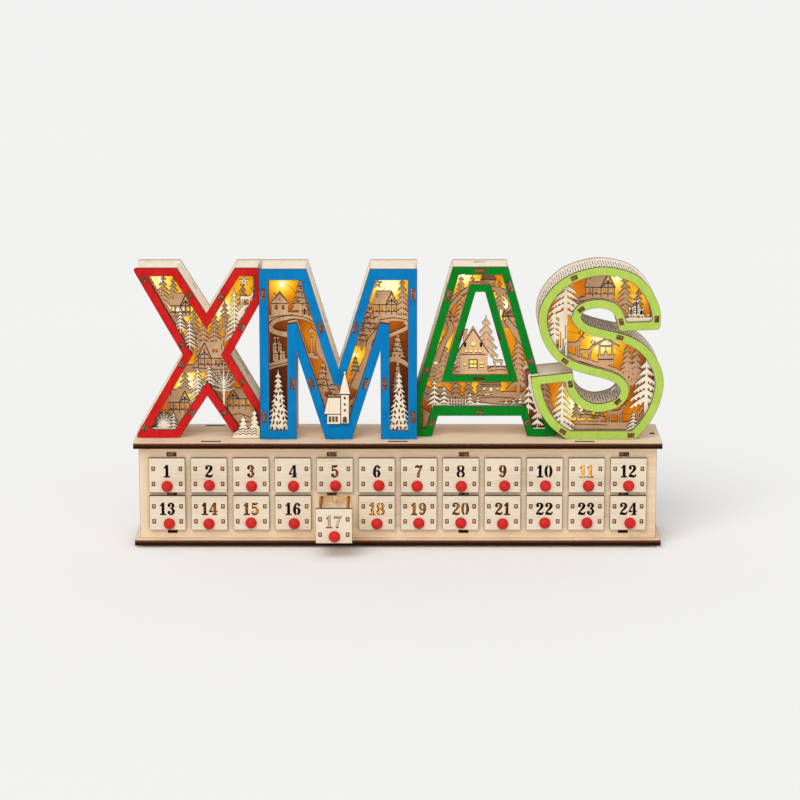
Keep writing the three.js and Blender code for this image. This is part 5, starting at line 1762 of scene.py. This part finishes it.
bulb_profile = [(0, 0), (1.1, 0), (1.5, 0.6), (1.6, 1.6), (1.3, 2.5), (0.7, 3.0), (0, 3.15)]


def small_lamp(name, power, colour, softness, place):
    """A point of light, not seen itself."""
    light = bpy.data.lights.new(name, "POINT")
    light.energy = power
    light.color = colour
    light.shadow_soft_size = softness
    made = object_from(name, light)
    made.location = place
    made.visible_camera = False


for letter in "xmas":
    path = smooth(wire_routes[letter], 6)
    mesh = bpy.data.meshes.new(letter + "_wire_path")
    wave = [(x + letter_middle, plates_front + board_face - 0.7, z + letter_floor) for x, z in path]
    mesh.from_pydata([[c * mm for c in v] for v in wave], [(i, i + 1) for i in range(len(wave) - 1)], [])
    wire = grown(letter + "_lamp_wire", object_from(letter + "_wire_path", mesh), wires,
                 {wire_keys["Wire thickness"]: wire_size, wire_keys["Wire finish"]: wire_finish})
    dress(wire, "case", "switch_plastic")
    for k, ((x, z), strength) in enumerate(lamps[letter]):
        if strength < least_bulb:
            continue
        centre = (x + letter_middle, plates_front + board_face - 0.5, z + letter_floor)
        bulb = turned(f"{letter}_lamp_{k + 1}", bulb_profile, centre, "-Y", bulb_sides, (lamp_glass,))
        dress(bulb, "case", "case_plastic")
        small_lamp(bulb.name + "_light", bulb_power * strength, bulb_colour, 4 * mm,
                   [c * mm for c in (centre[0], centre[1] - light_ahead, centre[2])])

# The A's counter: a second painted ring on its own strip, and in the hole a little house between firs
# with a stag before it. Its windows are backed with yellow paper whose glow is painted light: it shines by
# itself.
ring_loops = letter_outlines("a_counter_frame")
ring_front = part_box("a_counter_frame")[0].y / mm
ring_marks = [
    on_letters([(53.9, 87.4), (56.3, 86.8), (59.3, 95.6), (56.9, 96.2)]),
    on_letters([(88.6, 86.8), (91, 87.4), (88, 96.2), (85.6, 95.6)]),
    on_letters(rectangle(66.6, 76.8, 51.3, 53.4)),
]
ring = cut_sheet(
    "a_counter_ring",
    {"outline": ring_loops[:2], "line": ring_marks},
    lambda count: count["outline"] % 2,
    standing(ring_front),
    thin_board,
    (paints["a"], letter_edge, letter_ply),
    char=0.28,
)
dress(ring, "case", "green_paint", "a_counter_frame")
counter_hole = ring_loops[1] if turn_area(ring_loops[1]) < 0 else ring_loops[1][::-1]
counter_loop = moved_in(counter_hole, strip_inset)
counter_strip = bent_strip("a_counter_strip", counter_loop, ring_front + 3.05,
                           plates_front + board_face - 0.1,
                           lambda track: [], (strip_finishes["a"], strip_char, strip_finishes["a"]))
dress(counter_strip, "case", "pale_ply")

little_house = scenery(
    figure([
        rectangle(54.6, 78.6, 54.5, 76),
        [(51.6, 72.6), (81.6, 72.6), (66.6, 98)],
        rectangle(57.6, 61.4, 78, 94.5),
        rectangle(57, 62, 93.5, 95),
    ]),
    figure([], [
        disc(66.8, 81.6, 2.0, 16),
        *[rectangle(x, x + 2.3, 74, 76.6) for x in (59.8, 63.4, 68.2, 71.6)],
        rectangle(58.2, 60.6, 62, 64.4),
        *[rectangle(a, a + 2.6, b, b + h) for a, b,
          h in ((63.9, 60.4, 2.7), (67.1, 60.4, 2.7), (63.9, 63.7, 3.2),
                                                          (67.1, 63.7, 3.2))],
        rectangle(73, 76, 60.6, 63), rectangle(73, 76, 63.5, 65.6),
    ], [
        stroke([(52.8, 74.2, 0.5), (66.6, 95.4, 0.5)], 1),
        stroke([(80.4, 74.2, 0.5), (66.6, 95.4, 0.5)], 1),
        rectangle(55.4, 77.8, 72.2, 72.7),
        rectangle(62.9, 63.2, 59, 68), rectangle(70.4, 70.7, 59, 68), rectangle(62.9, 70.7, 67.7, 68),
    ]),
    bough_fir(78, 70, 37, 12, 5, 0.95, 0.6, 91, 0.1),
    figure([rectangle(76.6, 79.4, 54.5, 73)]),
    bough_fir(53.6, 54, 26, 6.5, 5, 0.7, 0.5, 92),
    picket_fence(56, 77, 54.5, 5.5),
    stag(88.4, 60.6, 10.5, -1),
    figure([], [], [rectangle(58.6, 60.4, 79.4, 83), rectangle(72.8, 74.6, 79.4, 83)]),
    ground((44, 58), (58, 55.6), (74, 55.4), (80, 59), (84, 61), (100, 61), deep=8,
           tracks=[[(80, 57.4), (88, 58.6), (96, 58.4)]]),
)
house_front = ring_front + 9
glue_line = 0.02
paper_thickness = 0.3
beyond = [inset(ring_loops[1], -1.9)]
house_sheet = cut_sheet(
    "a_counter_house",
    {"hole_edge": beyond, **little_house},
    lambda count: count["hole_edge"] and count["solid"] and not count["hole"],
    standing(house_front),
    thin_board,
    scene_looks,
    char=0.2,
    whole=True,
)
dress(house_sheet, "case", "scene_ply")
# Painted light: the window paper gives light of its own, in place of lamplight shining through it.
paper, paper_surface = finish("window_paper", 0.9, (250, 226, 120))
mottle = noise(paper, 240.0, Vector=own_place(paper))
tint(paper, paper_surface, mottle, [(0.35, (255, 214, 52)), (0.6, (255, 244, 150))], "Emission Color")
paper_surface.inputs["Emission Strength"].default_value = 1.0
paper_outline = on_letters([(56.2, 57.5), (77.2, 57.5), (77.2, 77.5), (66.7, 88), (56.2, 77.5)])
window_sheet = cut_sheet(
    "a_window_paper",
    {"sheet": [paper_outline]},
    lambda count: count["sheet"],
    standing(house_front + thin_board + glue_line),
    paper_thickness,
    (paper, scene_ply, scene_ply),
    char=0.05,
)
dress(window_sheet, "case", "pale_ply")

# Two pale boards glued in front of the frames: a village church at the foot of the M and a pair of
# snow-laden firs over the X's lower right corner. A third one fills the corner where the S stands before
# the A: the A's pale layer comes forward there as a narrow rim with two snow-laden firs.
def pale_board(name, shapes, inside, front):
    board = cut_sheet(name, shapes, inside, standing(front), thin_board, pale_looks, char=0.2, whole=True)
    dress(board, "case", "pale_ply")


before_frame = plates_front - thin_board - glue_line
pale_board("m_church_board", scenery(church(-54, 14.4, 22, 46)), lambda count: count["solid"]
           and not count["hole"],
           before_frame + strip_reach["m"][0])
snow_lines = [
    [(-144 + 5 * k, 3.5 + 2.2 * row, 0.3), (-141.6 + 5 * k, 5 + 2.2 * row, 0.3),
     (-139.4 + 5 * k, 3.6 + 2.2 * row, 0.3)]
    for row in range(3)
    for k in range(4)
]
foot_firs = scenery(
    bough_fir(-136.5, 4, 17, 6.5, 4, 1.3, 0.5, 95, 0.3),
    bough_fir(-126.6, 4, 23, 6, 5, 1.3, 0.5, 96, 0.3),
    figure([smooth([(-147, 0.2), (-144, 6.4), (-140, 8.2), (-134, 8), (-128, 10), (-121.8, 10),
                    (-121.8, 0.2)], 3)],
           [],
           [stroke(line, 3) for line in snow_lines]),
)
pale_board(
    "x_foot_firs",
    {"reach": [on_letters(rectangle(-150, -121.8, 0.1, 40))], **foot_firs},
    lambda count: count["reach"] and count["solid"] and not count["hole"],
    before_frame + strip_reach["x"][0],
)
corner_firs = scenery(
    bough_fir(115.6, 21, 27, 6.5, 4, 0.66, 0.5, 38),
    bough_fir(123.6, 7, 27, 6.5, 4, 0.66, 0.5, 39),
    figure([rectangle(120, 131, 5.6, 8.2)]),
)
beside_s = 1.4
rim_beside_s = -2.6
pale_board(
    "a_side_firs",
    {
        "whole": [on_letters(a_outline)],
        "frame": letter_outlines("a_front_frame")[:1],
        "near": [past_the_s(beside_s)],
        "rim": [past_the_s(rim_beside_s)],
        "foot": [on_letters(rectangle(105, 135, 0.1, 60))],
        **corner_firs,
    },
    lambda count: count["whole"] and count["foot"] and not count["frame"] % 2 and not count["near"] and (
        count["rim"] or (count["solid"] and not count["hole"])
    ),
    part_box("a_front_frame")[0].y / mm,
)

# Light inside the case, which is supposed to leak down from the letters: it shows warm through some of
# the cut numbers and in the open compartment of drawer 17, where it is strongest.
leaks = {3: 0.1, 5: 0.1, 7: 0.12, 9: 0.08, 11: 0.8, 14: 0.12, 15: 0.26, 18: 0.4, 19: 0.2, 20: 0.16, 21: 0.07}
amber = (1.0, 0.42, 0.08)
deep_orange = (1.0, 0.26, 0.06)
pale_yellow = (1.0, 0.84, 0.34)
evenly_lit = (11, 18)
even_glow = {"power": 0.0045, "from_back": 14, "above_foot": 9}
low_glow = {"power": 0.002, "from_back": 8, "above_foot": 5}
for number, strength in leaks.items():
    low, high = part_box(f"drawer_{number:02d}")
    glow = even_glow if number in evenly_lit else low_glow
    colour = amber if strength > 0.15 else deep_orange
    place = ((low.x + high.x) / 2, high.y - glow["from_back"] * mm, low.z + glow["above_foot"] * mm)
    small_lamp(f"leak_{number:02d}", glow["power"] * strength, colour, 1.5 * mm, place)
open_compartment_power = 0.05
behind_face = 26 * mm
under_shelf = 6 * mm
above_low, above_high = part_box("drawer_05")
small_lamp("leak_17", open_compartment_power, pale_yellow, 6 * mm,
           ((above_low.x + above_high.x) / 2, above_low.y + behind_face, above_low.z - under_shelf))

# On the back, where all of it is supposed: a moulded case of white plastic for two small cells, its
# sliding cover with grip ridges, and a black slide switch with three ribs.
def plastic(name, colour, grain, dip):
    made, surface = finish(name, 0.5, colour)
    skin = noise(made, grain, 3.0, Vector=own_place(made))
    darker = tuple(max(0, c - 8) for c in colour)
    tint(made, surface, skin, [(0.35, darker), (0.65, colour)])
    relief(made, surface, skin, dip, 0.0001)
    return made


case_plastic = plastic("moulded_white", (232, 230, 224), 1600.0, 0.35)
cover_plastic = plastic("moulded_white_cover", (226, 224, 218), 1500.0, 0.35)
switch_plastic = plastic("moulded_black", (44, 44, 46), 1800.0, 0.4)
repaint("battery_case", case_plastic)
repaint("battery_cover", cover_plastic)
repaint("switch_slider", switch_plastic)


ridges, ridge_nodes, ridge_keys = node_tree(
    "grip_ridges",
    {"Start": "Geometry", "Ridges": "Int", "Pitch": "Vector", "Turn": "Vector", "Ridge radius": "Float",
     "Ridge length": "Float", "Plastic": "Material"},
    "Ridge row",
    {"line": "GeometryNodeMeshLine", "shift": "GeometryNodeInputPosition", "first": "GeometryNodeSampleIndex",
     "rod": "GeometryNodeMeshCylinder", "copies": "GeometryNodeInstanceOnPoints",
     "turn": "FunctionNodeEulerToRotation", "real": "GeometryNodeRealizeInstances",
     "paint": "GeometryNodeSetMaterial"},
    [
        ("source", "Start", "first", "Geometry"),
        ("source", "Ridges", "line", "Count"),
        ("source", "Pitch", "line", "Offset"),
        ("source", "Ridge radius", "rod", "Radius"),
        ("source", "Ridge length", "rod", "Depth"),
        ("line", "Mesh", "copies", "Points"),
        ("rod", "Mesh", "copies", "Instance"),
        ("source", "Turn", "turn", "Euler"),
        ("turn", "Rotation", "copies", "Rotation"),
        ("copies", "Instances", "real", "Geometry"),
        ("real", "Geometry", "paint", "Geometry"),
        ("source", "Plastic", "paint", "Material"),
        ("paint", "Geometry", "sink", "Ridge row"),
    ],
)
ridge_nodes["line"].mode = "OFFSET"
ridge_nodes["first"].data_type = "FLOAT_VECTOR"
ridge_nodes["rod"].inputs["Vertices"].default_value = 14
start_links = (("shift", "Position", "first", "Value"), ("first", "Value", "line", "Start Location"))
for a, output, b, entry in start_links:
    ridges.links.new(ridge_nodes[a].outputs[output], ridge_nodes[b].inputs[entry])


def ridge_row(name, start, count, pitch, turn, radius, length, look, body, slot):
    mesh = bpy.data.meshes.new(name + "_start")
    mesh.from_pydata([start], [], [])
    row = grown(name, object_from(name + "_start", mesh), ridges, {
        ridge_keys["Ridges"]: count,
        ridge_keys["Pitch"]: pitch,
        ridge_keys["Turn"]: turn,
        ridge_keys["Ridge radius"]: radius,
        ridge_keys["Ridge length"]: length,
        ridge_keys["Plastic"]: look,
    })
    return dress(row, body, slot)


upright = (0, 0, 0)
front_to_back = (math.pi / 2, 0, 0)
cover_pitch = 1.8 * mm
rib_pitch = 1.3 * mm
cover_low, cover_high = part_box("battery_cover")
cover_start = (cover_low.x + 6 * mm, cover_high.y - 0.15 * mm, (cover_low.z + cover_high.z) / 2)
ridge_row("battery_cover_ridges", cover_start, count=7, pitch=(cover_pitch, 0, 0), turn=upright,
          radius=0.5 * mm,
          length=16 * mm, look=cover_plastic, body="battery_cover", slot="case_plastic")
switch_low, switch_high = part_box("switch_slider")
switch_mid = (switch_low + switch_high) / 2
switch_start = (switch_mid.x - rib_pitch, switch_mid.y, switch_high.z - 0.05 * mm)
ridge_row("switch_ribs", switch_start, count=3, pitch=(rib_pitch, 0, 0), turn=front_to_back, radius=0.35 * mm,
          length=2.4 * mm, look=switch_plastic, body="switch_slider", slot="switch_plastic")
